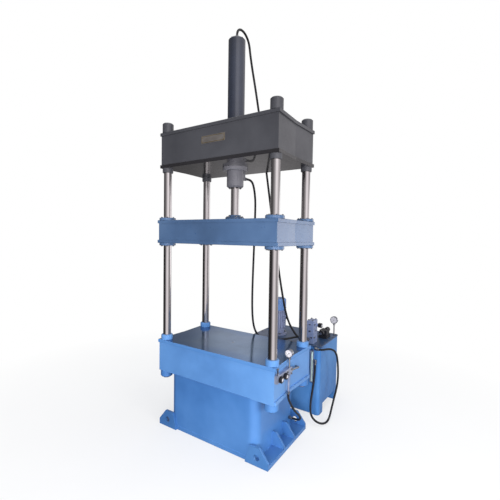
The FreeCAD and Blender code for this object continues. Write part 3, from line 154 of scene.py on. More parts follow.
# Alkyd machine enamel, sprayed over rolled plate: an even sheen with faint orange peel, uneven cover in
# wide clouds, grime that has run down, and a tone on whatever faces up: paler dust on most paints, painted
# shade on the tank lid.
def enamel(name, s):
    material, tree, shader, place = newMaterial(name)
    cloud = noise(tree, place, 590, 4)
    tones = [(0.34, linear(s["dark"])), (0.5, linear(s["base"])), (0.68, linear(s["pale"]))]
    colour = ramp(tree, cloud, tones)
    streak = noise(tree, place, 170, 5, 0.6, (1, 1, 0.15))  # drawn out downwards
    grime = ramp(tree, streak, [(0.55, grey(0)), (0.8, grey(s["dirt"]))])
    if "lowTone" in s:  # one solid with two coats, split at a height
        height = addNode(tree, "ShaderNodeSeparateXYZ", {"Vector": place}).outputs["Z"]
        inputs = {"Value": height, "From Min": s["split"], "From Max": s["split"] - 0.01}
        low = addNode(tree, "ShaderNodeMapRange", inputs).outputs[0]
        colour = mixColour(tree, low, colour, linear(s["lowTone"]))
    colour = mixColour(tree, grime, colour, linear(s["dark"]))
    # faces looking up take the set's upward tone: paler dust on most paints, darker painted shade on the lid
    dustAndShade = ramp(tree, upward(tree), [(0.7, grey(0)), (0.95, grey(s["dustAndShade"]))])
    patch = ramp(tree, noise(tree, place, 90, 5, 0.65), [(0.35, grey(0.25)), (0.65, grey(1))])
    colour = mixColour(tree, mixColour(tree, 1.0, dustAndShade, patch, "MULTIPLY"), colour, linear(s["dustAndShadeTone"]))
    chip = ramp(tree, noise(tree, place, 8, 3, 0.5), [(0.8, grey(0)), (0.82, grey(0.3))])  # small knocks
    colour = mixColour(tree, chip, colour, linear(s["pale"]))
    tree.links.new(colour, shader.inputs["Base Color"])
    sheen = [(0.3, grey(s["rough"] - 0.05)), (0.7, grey(s["rough"] + 0.07))]
    gloss = ramp(tree, noise(tree, place, 43, 4), sheen)
    tree.links.new(gloss, shader.inputs["Roughness"])
    shader.inputs["Coat Weight"].default_value = s["coat"]
    shader.inputs["Coat Roughness"].default_value = s["coatRough"]
    shader.inputs["IOR"].default_value = 1.5
    shader.inputs["Specular IOR Level"].default_value = s.get("shine", 0.45)
    peel = noise(tree, place, 3, 2)  # real peel is about 1 mm, drawn coarser so that it shows
    wave = noise(tree, place, 110, 3)  # the plate's own slow waves
    bumps(tree, shader, [(peel, s["peel"], 0.0003), (wave, s.get("wave", 0.1), 0.0014)], 0.0022)
    return material


# Bare or plated metal, turned, ground or brushed: fine tool lines along the cut make its gloss uneven.
def ground(name, s):
    material, tree, shader, place = newMaterial(name)
    cloud = noise(tree, place, s["cloud"], 4)
    colour = ramp(tree, cloud, [(0.32, linear(s["dark"])), (0.66, linear(s["base"]))])
    tree.links.new(colour, shader.inputs["Base Color"])
    line = noise(tree, place, s["lines"], 3, 0.6, s["stretch"])
    gloss = ramp(tree, line, [(0.3, grey(s["rough"] - 0.02)), (0.75, grey(s["rough"] + 0.05))])
    tree.links.new(gloss, shader.inputs["Roughness"])
    shader.inputs["Metallic"].default_value = s["metal"]
    bumps(tree, shader, [(line, s["depth"], 0.0001), (noise(tree, place, 33, 3), s["wave"], 0.0004)], 0.0012)
    return material


# Face-milled steel table, bare steel in the middle, turning darker and bluer towards the painted rim.
def tableMaterial(s):
    material, tree, shader, place = newMaterial("table_ground")
    top = ramp(tree, upward(tree), [(0.9, grey(0)), (0.97, grey(1))])
    cloud = ramp(tree, noise(tree, place, 320, 4), [(0.3, linear(s["dark"])), (0.7, linear(s["base"]))])
    stain = ramp(tree, noise(tree, place, 125, 5, 0.62), [(0.5, grey(0)), (0.72, grey(0.3))])
    cloud = mixColour(tree, stain, cloud, linear(s["stain"]))
    split = addNode(tree, "ShaderNodeSeparateXYZ", {"Vector": place})
    reach = []  # how near the table's edge a point is, across and in depth
    for way, share in (("X", s["across"]), ("Y", s["deep"])):
        far = addNode(tree, "ShaderNodeMath", {0: split.outputs[way]}, operation="ABSOLUTE").outputs[0]
        reach.append(sums(tree, far, share))
    uneven = sums(tree, noise(tree, place, 200, 4), 0.5)
    rim = sums(tree, sums(tree, *reach, "MAXIMUM"), uneven, "ADD")
    # towards the rim the steel turns darker and bluer
    rimTint = ramp(tree, rim, [(0.75, grey(0)), (1.0, grey(0.85))])
    cloud = mixColour(tree, rimTint, cloud, linear(s["rimTint"]))
    tones = [(0.34, linear(s["paintDark"])), (0.66, linear(s["paint"]))]
    paint = ramp(tree, noise(tree, place, 590, 4), tones)
    tree.links.new(mixColour(tree, top, paint, cloud), shader.inputs["Base Color"])
    metal = ramp(tree, upward(tree), [(0.9, grey(0)), (0.97, grey(s["metal"]))])
    tree.links.new(metal, shader.inputs["Metallic"])
    feed = noise(tree, place, 17, 3, 0.6, (1, 9, 1))  # cutter feed lines, 2 mm apart
    smear = noise(tree, place, 250, 4)
    rough = ramp(tree, smear, [(0.35, grey(s["rough"] - 0.04)), (0.7, grey(s["rough"] + 0.06))])
    tree.links.new(rough, shader.inputs["Roughness"])
    bumps(tree, shader, [(feed, 0.03, 0.0003), (noise(tree, place, 83, 3), 0.05, 0.0006)], 0.002)
    return material


# Nitrile hose cover, extruded: near black, a dull sheen and a fine matt skin.
def rubber(name, s):
    material, tree, shader, place = newMaterial(name)
    cloud = noise(tree, place, 29, 4)
    colour = ramp(tree, cloud, [(0.35, linear(s["base"])), (0.8, linear(s["pale"]))])
    tree.links.new(colour, shader.inputs["Base Color"])
    shader.inputs["Roughness"].default_value = s["rough"]
    shader.inputs["IOR"].default_value = 1.52
    shader.inputs["Specular IOR Level"].default_value = 0.4
    bumps(tree, shader, [(noise(tree, place, 1.05, 2), 0.3, 0.0003)])
    return material


# Moulded phenolic, or lacquer on a small part: smooth, with a faint moulding grain.
def plastic(name, s):
    material, tree, shader, place = newMaterial(name)
    colour = ramp(tree, noise(tree, place, 17, 3), [(0.35, linear(s["base"])), (0.75, linear(s["pale"]))])
    tree.links.new(colour, shader.inputs["Base Color"])
    shader.inputs["Roughness"].default_value = s["rough"]
    shader.inputs["IOR"].default_value = 1.54
    bumps(tree, shader, [(noise(tree, place, 0.83, 2), 0.12, 0.0002)], 0.0008)
    return material


# Flat window glass over a dial: almost clear, with a wiped smear in its gloss.
def glass(name, tint, clear):
    material, tree, shader, place = newMaterial(name)
    shader.inputs["IOR"].default_value = 1.52
    shader.inputs["Base Color"].default_value = linear(tint)
    shader.inputs["Alpha"].default_value = clear
    smear = ramp(tree, noise(tree, place, 11, 3), [(0.3, grey(0.02)), (0.8, grey(0.1))])
    tree.links.new(smear, shader.inputs["Roughness"])
    return material


# Colours are sRGB hex values; dirt, the upward share, coat, peel, wave and shine are shares; split is in
# metres.
# The upward share and tone are paler dust on most paints and painted shade on the lid.
paintSets = {
    "bedEnamel": {  # bright machine blue with a soft gloss
        "base": "6093d0", "pale": "6d9fd9", "dark": "5384c0", "dirt": 0.25, "dustAndShade": 0.3, "dustAndShadeTone": "7d9fca",
        "rough": 0.34, "coat": 0.4, "coatRough": 0.14, "peel": 0.04},
    "baseEnamelPaintedShade": {  # the bed's blue, darker as painted shade, and dirtier near the floor
        "base": "497cbb", "pale": "5588c6", "dark": "3e6fad", "dirt": 0.35, "dustAndShade": 0.3, "dustAndShadeTone": "6389b8",
        "rough": 0.38, "coat": 0.3, "coatRough": 0.18, "peel": 0.05},
    "footEnamelPaintedShade": {  # the base's blue, a little darker still as painted shade, and duller
        "base": "4475b1", "pale": "5081bb", "dark": "3a68a2", "dirt": 0.35, "dustAndShade": 0.3, "dustAndShadeTone": "5a7fae",
        "rough": 0.38, "coat": 0.2, "coatRough": 0.18, "peel": 0.05},
    "slideEnamel": {  # greyer blue with a harder gloss
        "base": "4a668b", "pale": "577499", "dark": "40597a", "dirt": 0.25, "dustAndShade": 0.3, "dustAndShadeTone": "66809a",
        "rough": 0.32, "coat": 0.7, "coatRough": 0.12, "peel": 0.03},
    "headEnamel": {  # machine grey, half gloss
        "base": "47484d", "pale": "515257", "dark": "3b3c41", "dirt": 0.25, "dustAndShade": 0.3, "dustAndShadeTone": "5c5e62",
        "rough": 0.34, "coat": 0.5, "coatRough": 0.14, "peel": 0.03},
    "headUnderEnamelPaintedShade": {  # smooth underside that mirrors the cylinder; the head's grey is darkened here as painted shade on the downward face
        "base": "252427", "pale": "2e2d30", "dark": "1c1b1d", "dirt": 0.2, "dustAndShade": 0.0, "dustAndShadeTone": "3a3a3d",
        "rough": 0.3, "coat": 1.0, "coatRough": 0.03, "peel": 0.0},
    "barrelEnamel": {  # glossy blue-black tube, so it shows bright upright bands; grey below the head
        "base": "2b303e", "pale": "333a4b", "dark": "21252f", "dirt": 0.2, "dustAndShade": 0.3, "dustAndShadeTone": "4a4c56",
        "rough": 0.3, "coat": 1.0, "coatRough": 0.05, "peel": 0.0, "lowTone": "6e6e75", "split": 2.2},
    "glandEnamel": {  # mid grey on turned pieces
        "base": "6e6e75", "pale": "7c7c83", "dark": "5a5a61", "dirt": 0.2, "dustAndShade": 0.2, "dustAndShadeTone": "6a6a70",
        "rough": 0.28, "coat": 0.8, "coatRough": 0.07, "peel": 0.0},
    "tankEnamel": {  # blue on folded sheet, with less gloss than the press
        "base": "467bba", "pale": "568bc6", "dark": "3768a3", "dirt": 0.35, "dustAndShade": 0.0, "dustAndShadeTone": "4b6a8f",
        "rough": 0.36, "coat": 0.05, "coatRough": 0.14, "peel": 0.0, "wave": 0.03, "shine": 0.25},
    "lidEnamelPaintedShade": {  # dark blue with run-down oil grime; its blue darkened, and its top darker still, as painted shade
        "base": "2f4a6e", "pale": "3c5a80", "dark": "1f3450", "dirt": 0.5, "dustAndShade": 0.5, "dustAndShadeTone": "2b394e",
        "rough": 0.36, "coat": 0.3, "coatRough": 0.15, "peel": 0.02},
    "motorEnamel": {  # pale grey-blue on cast ribs
        "base": "7f88a6", "pale": "949cb8", "dark": "646c88", "dirt": 0.35, "dustAndShade": 0.2, "dustAndShadeTone": "8d93a6",
        "rough": 0.36, "coat": 0.3, "coatRough": 0.16, "peel": 0.03},
    "coverEnamel": {  # blue on the pressed fan cover
        "base": "5f83b8", "pale": "7093c6", "dark": "41659a", "dirt": 0.3, "dustAndShade": 0.2, "dustAndShadeTone": "4c5f88",
        "rough": 0.32, "coat": 0.4, "coatRough": 0.14, "peel": 0.03},
    "stackEnamel": {  # pale blue over the ground valve blocks
        "base": "6f7fa3", "pale": "8792b4", "dark": "4e5c80", "dirt": 0.3, "dustAndShade": 0.2, "dustAndShadeTone": "7f88a0",
        "rough": 0.3, "coat": 0.4, "coatRough": 0.12, "peel": 0.02},
}
paints = {name: enamel(name, s) for name, s in paintSets.items()}
# cloud and lines are pattern sizes in millimetres; stretch turns the lines along the cut. Tool lines are
# finer than a millimetre in truth, and drawn coarser so that they show.
metalSets = {
    "hardChrome": {  # ground and polished: mirrors the room in upright bands
        "base": "dad6d6", "dark": "d0cbcc", "cloud": 333, "rough": 0.09, "metal": 1.0,
        "stretch": (1, 1, 8), "lines": 11.1, "depth": 0.01, "wave": 0.01},
    "turnedSteel": {  # bright, with turning lines
        "base": "a8a9ad", "dark": "86878b", "cloud": 111, "rough": 0.26, "metal": 1.0,
        "stretch": (1, 1, 8), "lines": 3.3, "depth": 0.08, "wave": 0.05},
    "zincPlate": {  # passivated zinc: bluish and half matt
        "base": "b4bdd2", "dark": "8f99b4", "cloud": 50, "rough": 0.3, "metal": 0.55,
        "stretch": (1, 1, 1), "lines": 3.8, "depth": 0.08, "wave": 0.05},
    "blackOxide": {  # black-oxided steel: dark with a low sheen
        "base": "2c2d33", "dark": "1b1c20", "cloud": 83, "rough": 0.34, "metal": 0.4,
        "stretch": (1, 1, 1), "lines": 3.8, "depth": 0.08, "wave": 0.05},
    "etchedPlate": {  # bare name plate, brushed lengthwise and dull with age
        "base": "8f8a85", "dark": "77726e", "cloud": 71, "rough": 0.32, "metal": 0.5,
        "stretch": (6, 1, 1), "lines": 3.3, "depth": 0.05, "wave": 0.03},
    "brushedBrass": {  # dull yellow rim and rivets
        "base": "9a8352", "dark": "7d6a41", "cloud": 71, "rough": 0.3, "metal": 0.8,
        "stretch": (6, 1, 1), "lines": 3.3, "depth": 0.05, "wave": 0.03},
    "satinNickelPaintedGlint": {  # pale caps on the knobs, near white as a painted glint
        "base": "e2e2e8", "dark": "cfcfd6", "cloud": 33, "rough": 0.3, "metal": 0.25,
        "stretch": (1, 1, 1), "lines": 3.3, "depth": 0.04, "wave": 0.02},
    "polishedCase": {  # spun stainless gauge cases and bright plugs
        "base": "c4c5c9", "dark": "a3a4a8", "cloud": 71, "rough": 0.2, "metal": 1.0,
        "stretch": (1, 1, 1), "lines": 3.3, "depth": 0.05, "wave": 0.03},
}
metals = {name: ground(name, s) for name, s in metalSets.items()}
tableGround = tableMaterial({
    "base": "6a88a8", "dark": "5a7698", "stain": "5d7188", "rimTint": "4a709c", "paint": "6093d0",
    "paintDark": "5384c0", "metal": 0.75, "rough": 0.16, "across": 1.9, "deep": 2.9})
blackRubber = rubber("hose_rubber", {"base": "131315", "pale": "242428", "rough": 0.45})
blackPlastic = plastic("black_plastic", {"base": "121216", "pale": "202027", "rough": 0.32})
needleBlack = plastic("needle_black", {"base": "101012", "pale": "1a1a1c", "rough": 0.45})
dialWhite = plastic("dial_white", {"base": "dcd9de", "pale": "e8e5ea", "rough": 0.5})
dialGrey = plastic("dial_grey", {"base": "aaa9b4", "pale": "b8b7c2", "rough": 0.5})
markGrey = plastic("mark_grey", {"base": "5a5a60", "pale": "66666c", "rough": 0.5})
dialGlass = glass("dial_glass", "fbfdff", 0.14)
oilTubePaintedHighlight = plastic("oil_tube_painted_highlight", {"base": "b9d6cf", "pale": "d3e8e2", "rough": 0.15})  # acrylic over pale oil; its pale tone is a painted highlight for the shine on the tank's front corner
print("materials made")

# Which finish each piece of the frame wears; whatever is in neither list is a rubber hose.
nodePaint = {
    "baseEnamelPaintedShade": ["base_plate", "base_shell", "bottom_nuts"],
    "footEnamelPaintedShade": ["foot_left", "foot_right"],
    "bedEnamel": [
        "bed_bottom_plate", "bed_front_plate", "bed_back_plate", "bed_side_left", "bed_side_right",
        "table_collars"],
    "slideEnamel": ["slide_bottom_plate", "slide_walls", "slide_top_plate", "guide_bushes", "rod_flange"],
    "headEnamel": ["head_walls", "head_top_plate", "top_nuts", "head_collars"],
    "headUnderEnamelPaintedShade": ["head_bottom_plate"],
    "barrelEnamel": ["cylinder_barrel", "cylinder_cap"],
    "glandEnamel": ["cylinder_gland", "cylinder_ring_nut"],
    "tankEnamel": ["oil_tank"],
    "lidEnamelPaintedShade": ["tank_lid"],
    "motorEnamel": ["motor_housing"],
    "coverEnamel": ["motor_fan_cover"],
    "stackEnamel": ["manifold_block"],
    "hardChrome": [
        "column_front_left", "column_front_right", "column_back_left", "column_back_right", "piston_rod"],
    "turnedSteel": [
        "piston", "valve_lever", "side_pipe", "motor_rotor", "hose_fittings", "tank_fittings", "filler_neck"],
    "zincPlate": ["valve_block"],
    "blackOxide": ["gear_pump", "solenoid_valve"],
    "etchedPlate": ["nameplate"],
    "polishedCase": ["side_gauge", "tank_gauge"],
}
finishes = {**paints, **metals}
special = {
    "table_plate": tableGround, "pressure_knob": blackPlastic, "speed_knob": blackPlastic,
    "relief_knob": blackPlastic, "filler_cap": blackPlastic, "side_needle": needleBlack,
    "tank_needle": needleBlack}
worn = {node: finishes[name] for name, members in nodePaint.items() for node in members}
worn.update(special)
for name, node in nodes.items():
    for slotSpot in node.material_slots:
        slotSpot.material = worn.get(name, blackRubber)
print("frame painted")

# Hose routes, point by point in metres, from the first end to the second.
headHoseRoute = [
    (0, 0, 3.115), (0, 0, 3.127), (-0.001, 0.007, 3.148), (-0.002, 0.019, 3.165), (-0.003, 0.036, 3.179),
    (-0.003, 0.057, 3.1875), (-0.003, 0.082, 3.1905), (-0.002, 0.109, 3.185), (0, 0.134, 3.169),
    (0.004, 0.154, 3.142), (0.01, 0.162, 3.103), (0.019, 0.163, 3.032), (0.027, 0.184, 2.923),
    (0.032, 0.23, 2.778), (0.039, 0.278, 2.599), (0.055, 0.315, 2.387), (0.082, 0.334, 2.15),
    (0.118, 0.341, 1.902), (0.154, 0.344, 1.661), (0.187, 0.352, 1.437), (0.213, 0.367, 1.239),
    (0.234, 0.387, 1.074), (0.25, 0.407, 0.949), (0.263, 0.428, 0.859), (0.283, 0.445, 0.791),
    (0.314, 0.453, 0.737), (0.346, 0.455, 0.699), (0.371, 0.467, 0.675), (0.391, 0.495, 0.654),
    (0.4, 0.531, 0.642), (0.4, 0.556, 0.642)]
glandHoseRoute = [
    (0.03762, 0.10337, 2.012), (0.042, 0.115, 2.012), (0.045, 0.134, 2.011), (0.045, 0.161, 2.007),
    (0.039, 0.193, 1.996), (0.027, 0.229, 1.975), (0.013, 0.264, 1.946), (0.001, 0.294, 1.909),
    (-0.008, 0.316, 1.865), (-0.014, 0.328, 1.8), (-0.02, 0.335, 1.697), (-0.026, 0.339, 1.54),
    (-0.033, 0.341, 1.335), (-0.04, 0.342, 1.118), (-0.043, 0.345, 0.931), (-0.039, 0.352, 0.794),
    (-0.023, 0.364, 0.704), (0.011, 0.38, 0.651), (0.06, 0.403, 0.627), (0.119, 0.433, 0.622),
    (0.178, 0.469, 0.626), (0.225, 0.509, 0.633), (0.257, 0.548, 0.638), (0.277, 0.58, 0.641),
    (0.295, 0.599, 0.642), (0.316, 0.612, 0.642), (0.338, 0.618, 0.642), (0.35, 0.618, 0.642)]
dropHoseRoute = [
    (0.556, -0.108, 0.458), (0.556, -0.108, 0.434), (0.5575, -0.095, 0.404), (0.561, -0.068, 0.362),
    (0.563, -0.028, 0.314), (0.561, 0.018, 0.272), (0.556, 0.062, 0.238), (0.549, 0.1, 0.21),
    (0.54, 0.136, 0.18), (0.53, 0.163, 0.154), (0.515, 0.182, 0.132), (0.494, 0.195, 0.118),
    (0.47, 0.2, 0.112), (0.446, 0.2, 0.112)]
loopHoseRoute = [
    (0.53, 0.523, 0.59), (0.542, 0.523, 0.59), (0.563, 0.527, 0.594), (0.586, 0.538, 0.6),
    (0.608, 0.556, 0.602), (0.626, 0.579, 0.595), (0.639, 0.603, 0.578), (0.645, 0.628, 0.549),
    (0.647, 0.65, 0.507), (0.647, 0.669, 0.453), (0.647, 0.682, 0.389), (0.647, 0.685, 0.319),
    (0.643, 0.678, 0.249), (0.635, 0.657, 0.185), (0.63, 0.625, 0.129), (0.63, 0.584, 0.083),
    (0.634, 0.539, 0.047), (0.636, 0.493, 0.024), (0.627, 0.453, 0.014), (0.605, 0.421, 0.015),
    (0.573, 0.402, 0.026), (0.538, 0.4, 0.045), (0.509, 0.415, 0.073), (0.494, 0.442, 0.117),
    (0.488, 0.472, 0.173), (0.489, 0.496, 0.241), (0.492, 0.513, 0.311), (0.495, 0.521, 0.377),
    (0.496, 0.523, 0.428), (0.496, 0.523, 0.452)]


def finishPiece(name, form, material, body="frame", sharp=35):
    mesh = bpy.data.meshes.new(name)
    bmesh.ops.recalc_face_normals(form, faces=form.faces)
    form.to_mesh(mesh)
    form.free()
    for face in mesh.polygons:
        face.use_smooth = True
    mesh.set_sharp_from_angle(angle=math.radians(sharp))
    mesh.materials.append(material)
    piece = bpy.data.objects.new(name, mesh)
    bpy.context.collection.objects.link(piece)
    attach(piece, body)
    return piece


# Turns a profile of (radius, distance along) pairs about an axis
def lathe(form, profile, origin, axis, segments=24):
    axis = Vector(axis).normalized()
    side = axis.orthogonal().normalized()
    other = axis.cross(side)
    turns = [2 * math.pi * i / segments for i in range(segments)]
    rings = []
    for radius, along in profile:
        centre = Vector(origin) + axis * along
        if radius < 1e-7:
            rings.append([form.verts.new(centre)])
        else:
            spokes = [(side * math.cos(a) + other * math.sin(a)) * radius for a in turns]
            rings.append([form.verts.new(centre + spoke) for spoke in spokes])
    for low, high in zip(rings, rings[1:]):
        for i in range(segments):
            j = (i + 1) % segments
            corners = [low[i % len(low)], low[j % len(low)], high[j % len(high)], high[i % len(high)]]
            corners = list(dict.fromkeys(corners))
            if len(corners) > 2:
                form.faces.new(corners)


# A hexagon bolt's head on a washer, in shares of the thread's diameter
def hexBolt(form, place, axis, size):
    washer, head = size * 0.18, size * 0.65
    lathe(form, [(0, 0), (size * 1.08, 0), (size * 1.08, washer), (0, washer)], place, axis, 20)
    reach, top = size * 0.92, washer + head
    profile = [(0, washer), (reach, washer), (reach, washer + head * 0.82), (reach * 0.86, top), (0, top)]
    lathe(form, profile, place, axis, 6)


# A socket cap screw's head, in the same shares, with its socket as a round dish
def capScrew(form, place, axis, size):
    reach, head = size * 0.78, size * 0.9
    socket = [(reach * 0.5, head), (reach * 0.45, head * 0.45), (0, head * 0.4)]
    profile = [(0, 0), (reach, 0), (reach, head * 0.85), (reach * 0.88, head)] + socket
    lathe(form, profile, place, axis, 18)


def circleOf(count, radius, centre, start=0.0):
    x, y, z = centre
    turns = [start + 2 * math.pi * i / count for i in range(count)]
    return [(x + radius * math.cos(a), y + radius * math.sin(a), z) for a in turns]


def block(form, low, high):
    centre = [(a + b) / 2 for a, b in zip(low, high)]
    size = [b - a for a, b in zip(low, high)]
    place = Matrix.Translation(centre) @ Matrix.Diagonal((*size, 1))
    return bmesh.ops.create_cube(form, size=1, matrix=place)["verts"]


# A weld bead along a path, rippled as each puddle cools
def bead(form, path, radius, seed=0.0):
    step = radius * 1.1
    for a, b in zip(path, path[1:]):
        a, b = Vector(a), Vector(b)
        run = b - a
        count = max(2, int(run.length / step))
        side = run.orthogonal().normalized()
        other = run.normalized().cross(side)
        last = None
        for k in range(count + 1):
            centre = a + run * (k / count)
            ripple = 0.86 + 0.14 * math.sin(2.1 * k + seed) + 0.06 * math.sin(0.37 * k + 2 * seed)
            ring = []
            for i in range(8):
                turn = 2 * math.pi * i / 8
                spoke = (side * math.cos(turn) + other * math.sin(turn)) * radius * ripple
                ring.append(form.verts.new(centre + spoke))
            if last:
                for i in range(8):
                    j = (i + 1) % 8
                    form.faces.new([last[i], last[j], ring[j], ring[i]])
            last = ring


def hose(name, route, diameter):
    data = bpy.data.curves.new(name, "CURVE")
    data.dimensions = "3D"
    spline = data.splines.new("NURBS")
    spline.points.add(len(route) - 1)
    for point, place in zip(spline.points, route):
        point.co = (*place, 1)
    spline.order_u = 3
    spline.use_endpoint_u = True
    spline.resolution_u = 10
    data.bevel_depth = diameter / 2
    data.bevel_resolution = 5
    data.use_fill_caps = True
    data.materials.append(blackRubber)
    piece = bpy.data.objects.new(name + "_rubber", data)
    bpy.context.collection.objects.link(piece)
    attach(piece, "frame")
    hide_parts(name)
    return piece


# Crimped hose ends: the sleeve's share of the end, its radius in hose diameters, and its crimp grooves
ferruleSet = {"cover": 0.55, "growth": 0.655, "grooves": 4, "dip": 0.0009}


def ferrule(name, end, port, diameter, s):
    end, port = Vector(end), Vector(port)
    way = end - port
    length = way.length
    way.normalize()
    reach = diameter * s["growth"]
    start = length * (1 - s["cover"])
    span = length * s["cover"]
    profile = [(0, start), (reach - 0.001, start), (reach, start + 0.001)]
    for i in range(s["grooves"]):
        at = start + span * (i + 0.75) / (s["grooves"] + 0.5)
        low = reach - s["dip"]
        profile += [(reach, at - 0.0011), (low, at - 0.0004), (low, at + 0.0004), (reach, at + 0.0011)]
    lip = length + 0.0005
    profile += [(reach, length - 0.001), (reach - 0.001, lip), (diameter / 2 - 0.001, lip)]
    form = bmesh.new()
    lathe(form, profile, port, way, 28)
    return finishPiece(name, form, metals["turnedSteel"])


# Route, the ports that its two ends are screwed into, diameter and length, in metres
hoseEnds = {
    "head": (headHoseRoute, (0, 0, 3.081), (0.4, 0.59, 0.642), 0.018, 2.862),
    "gland": (glandHoseRoute, (0.03078, 0.08457, 2.012), (0.384, 0.618, 0.642), 0.018, 1.939),
    "drop": (dropHoseRoute, (0.556, -0.108, 0.478), (0.412, 0.2, 0.112), 0.016, 0.53),
    "loop": (loopHoseRoute, (0.51, 0.523, 0.59), (0.496, 0.523, 0.486), 0.017, 1.401),
}
for name, (route, nearPort, farPort, diameter, length) in hoseEnds.items():
    near = ferrule(name + "_ferrule_near", route[0], nearPort, diameter, ferruleSet)
    far = ferrule(name + "_ferrule_far", route[-1], farPort, diameter, ferruleSet)
    hose(name + "_hose", route, diameter)
print("hoses laid")

# In the bolt sets below, circle is the bolt circle's radius and size the thread's diameter, in metres.
# start is the first bolt's angle in radians.
flangeSet = {"circle": 0.062, "count": 6, "size": 0.01, "start": 0.3, "thick": 0.028}


def flangeBolts(s):
    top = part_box("slide_top_plate")[1][2] + s["thick"]
    form = bmesh.new()
    for place in circleOf(s["count"], s["circle"], (0, 0, top), s["start"]):
        hexBolt(form, place, (0, 0, 1), s["size"])
    finishPiece("rod_flange_bolts", form, metals["turnedSteel"], "slide")


flangeBolts(flangeSet)

bushSet = {"circle": 0.0525, "count": 6, "size": 0.008, "start": 0.26, "x": 0.5, "y": 0.2425}


def bushScrews(s):
    low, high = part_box("guide_bushes")
    form = bmesh.new()
    for x in (-s["x"], s["x"]):
        for y in (-s["y"], s["y"]):
            for z, way in ((high[2], 1), (low[2], -1)):
                for place in circleOf(s["count"], s["circle"], (x, y, z), s["start"]):
                    capScrew(form, place, (0, 0, way), s["size"])
    finishPiece("bush_screws", form, metals["turnedSteel"], "slide")


bushScrews(bushSet)

capSet = {
    "circle": 0.044, "count": 6, "size": 0.01, "start": 0.1,
    "glandCircle": 0.046, "glandCount": 8, "glandSize": 0.007, "glandStart": 0.2}


def cylinderScrews(s):
    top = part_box("cylinder_cap")[1][2]
    form = bmesh.new()
    for place in circleOf(s["count"], s["circle"], (0, 0, top), s["start"]):
        capScrew(form, place, (0, 0, 1), s["size"])
    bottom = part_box("cylinder_gland")[0][2]
    for place in circleOf(s["glandCount"], s["glandCircle"], (0, 0, bottom), s["glandStart"]):
        capScrew(form, place, (0, 0, -1), s["glandSize"])
    finishPiece("cylinder_screws", form, metals["blackOxide"])


cylinderScrews(capSet)

lidSet = {
    "inset": 0.013, "size": 0.007, "xs": (-0.11, 0.01, 0.13, 0.25, 0.37, 0.485),
    "ys": (0.585, 0.69, 0.795, 0.9, 0.985)}


def lidBolts(s):
    low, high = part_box("oil_tank")
    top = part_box("tank_lid")[1][2]
    form = bmesh.new()
    for x in s["xs"]:
        for y in (low[1] + s["inset"], high[1] - s["inset"]):
            hexBolt(form, (x, y, top), (0, 0, 1), s["size"])
    for y in s["ys"]:
        for x in (low[0] + s["inset"], high[0] - s["inset"]):
            hexBolt(form, (x, y, top), (0, 0, 1), s["size"])
    finishPiece("tank_lid_bolts", form, metals["turnedSteel"])


lidBolts(lidSet)

motorSet = {
    "x": 0.026, "y": 0.705, "circle": 0.079, "size": 0.01, "start": math.pi / 4, "flange": 0.014,
    "coverRadius": 0.08, "coverDrop": 0.094, "coverStart": 0.5, "lidScrew": 0.004, "lidX": 0.029,
    "lidLevels": (0.732, 0.8),
    "gland": (0.037, -0.02, 0.745)}  # on the terminal box's side, with no cable in it


def motorDetails(s):
    low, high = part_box("motor_housing")
    form = bmesh.new()
    for place in circleOf(4, s["circle"], (s["x"], s["y"], low[2] + s["flange"]), s["start"]):
        hexBolt(form, place, (0, 0, 1), s["size"])
    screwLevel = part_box("motor_fan_cover")[1][2] - s["coverDrop"]
    for place in circleOf(4, s["coverRadius"], (s["x"], s["y"], screwLevel), s["coverStart"]):
        way = (place[0] - s["x"], place[1] - s["y"], 0)
        capScrew(form, place, way, s["lidScrew"])
    boxFace = high[1]
    for x in (-s["lidX"], s["lidX"]):
        for z in s["lidLevels"]:
            capScrew(form, (s["x"] + x, boxFace, z), (0, 1, 0), s["lidScrew"])
    finishPiece("motor_screws", form, metals["turnedSteel"])
    form = bmesh.new()
    glandX, glandY, level = s["gland"]
    gland = (s["x"] + glandX, boxFace + glandY, level)
    lathe(form, [(0, 0), (0.011, 0), (0.011, 0.004), (0.0095, 0.005)], gland, (1, 0, 0), 6)
    lathe(form, [(0.0095, 0.005), (0.0095, 0.014), (0.0075, 0.018), (0, 0.018)], gland, (1, 0, 0), 20)
    finishPiece("motor_cable_gland", form, blackPlastic)


motorDetails(motorSet)

stackSet = {
    "x": (0.384, 0.446), "y": (0.59, 0.682), "top": 0.81, "inset": 0.011, "size": 0.008, "plug": 0.009,
    "frontPlugs": ((0.43, 0.66), (0.415, 0.716), (0.415, 0.775)),  # x and z
    "sidePlugs": ((0.61, 0.66), (0.64, 0.715), (0.612, 0.775))}  # y and z


def stackDetails(s):
    (x0, x1), (y0, y1) = s["x"], s["y"]
    form = bmesh.new()
    for x in (x0 + s["inset"], x1 - s["inset"]):
        for y in (y0 + s["inset"], y1 - s["inset"]):
            capScrew(form, (x, y, s["top"]), (0, 0, 1), s["size"])
    for x, z in s["frontPlugs"]:
        capScrew(form, (x, y0, z), (0, -1, 0), s["plug"])
    for y, z in s["sidePlugs"]:
        capScrew(form, (x1, y, z), (1, 0, 0), s["plug"])
    finishPiece("stack_screws", form, metals["turnedSteel"])


stackDetails(stackSet)

coilSet = {
    "x": 0.452, "y": 0.85, "blockTop": 0.679, "screwX": 0.022, "screwY": 0.028, "size": 0.0064,
    "nutEnd": 0.103, "level": 0.663}


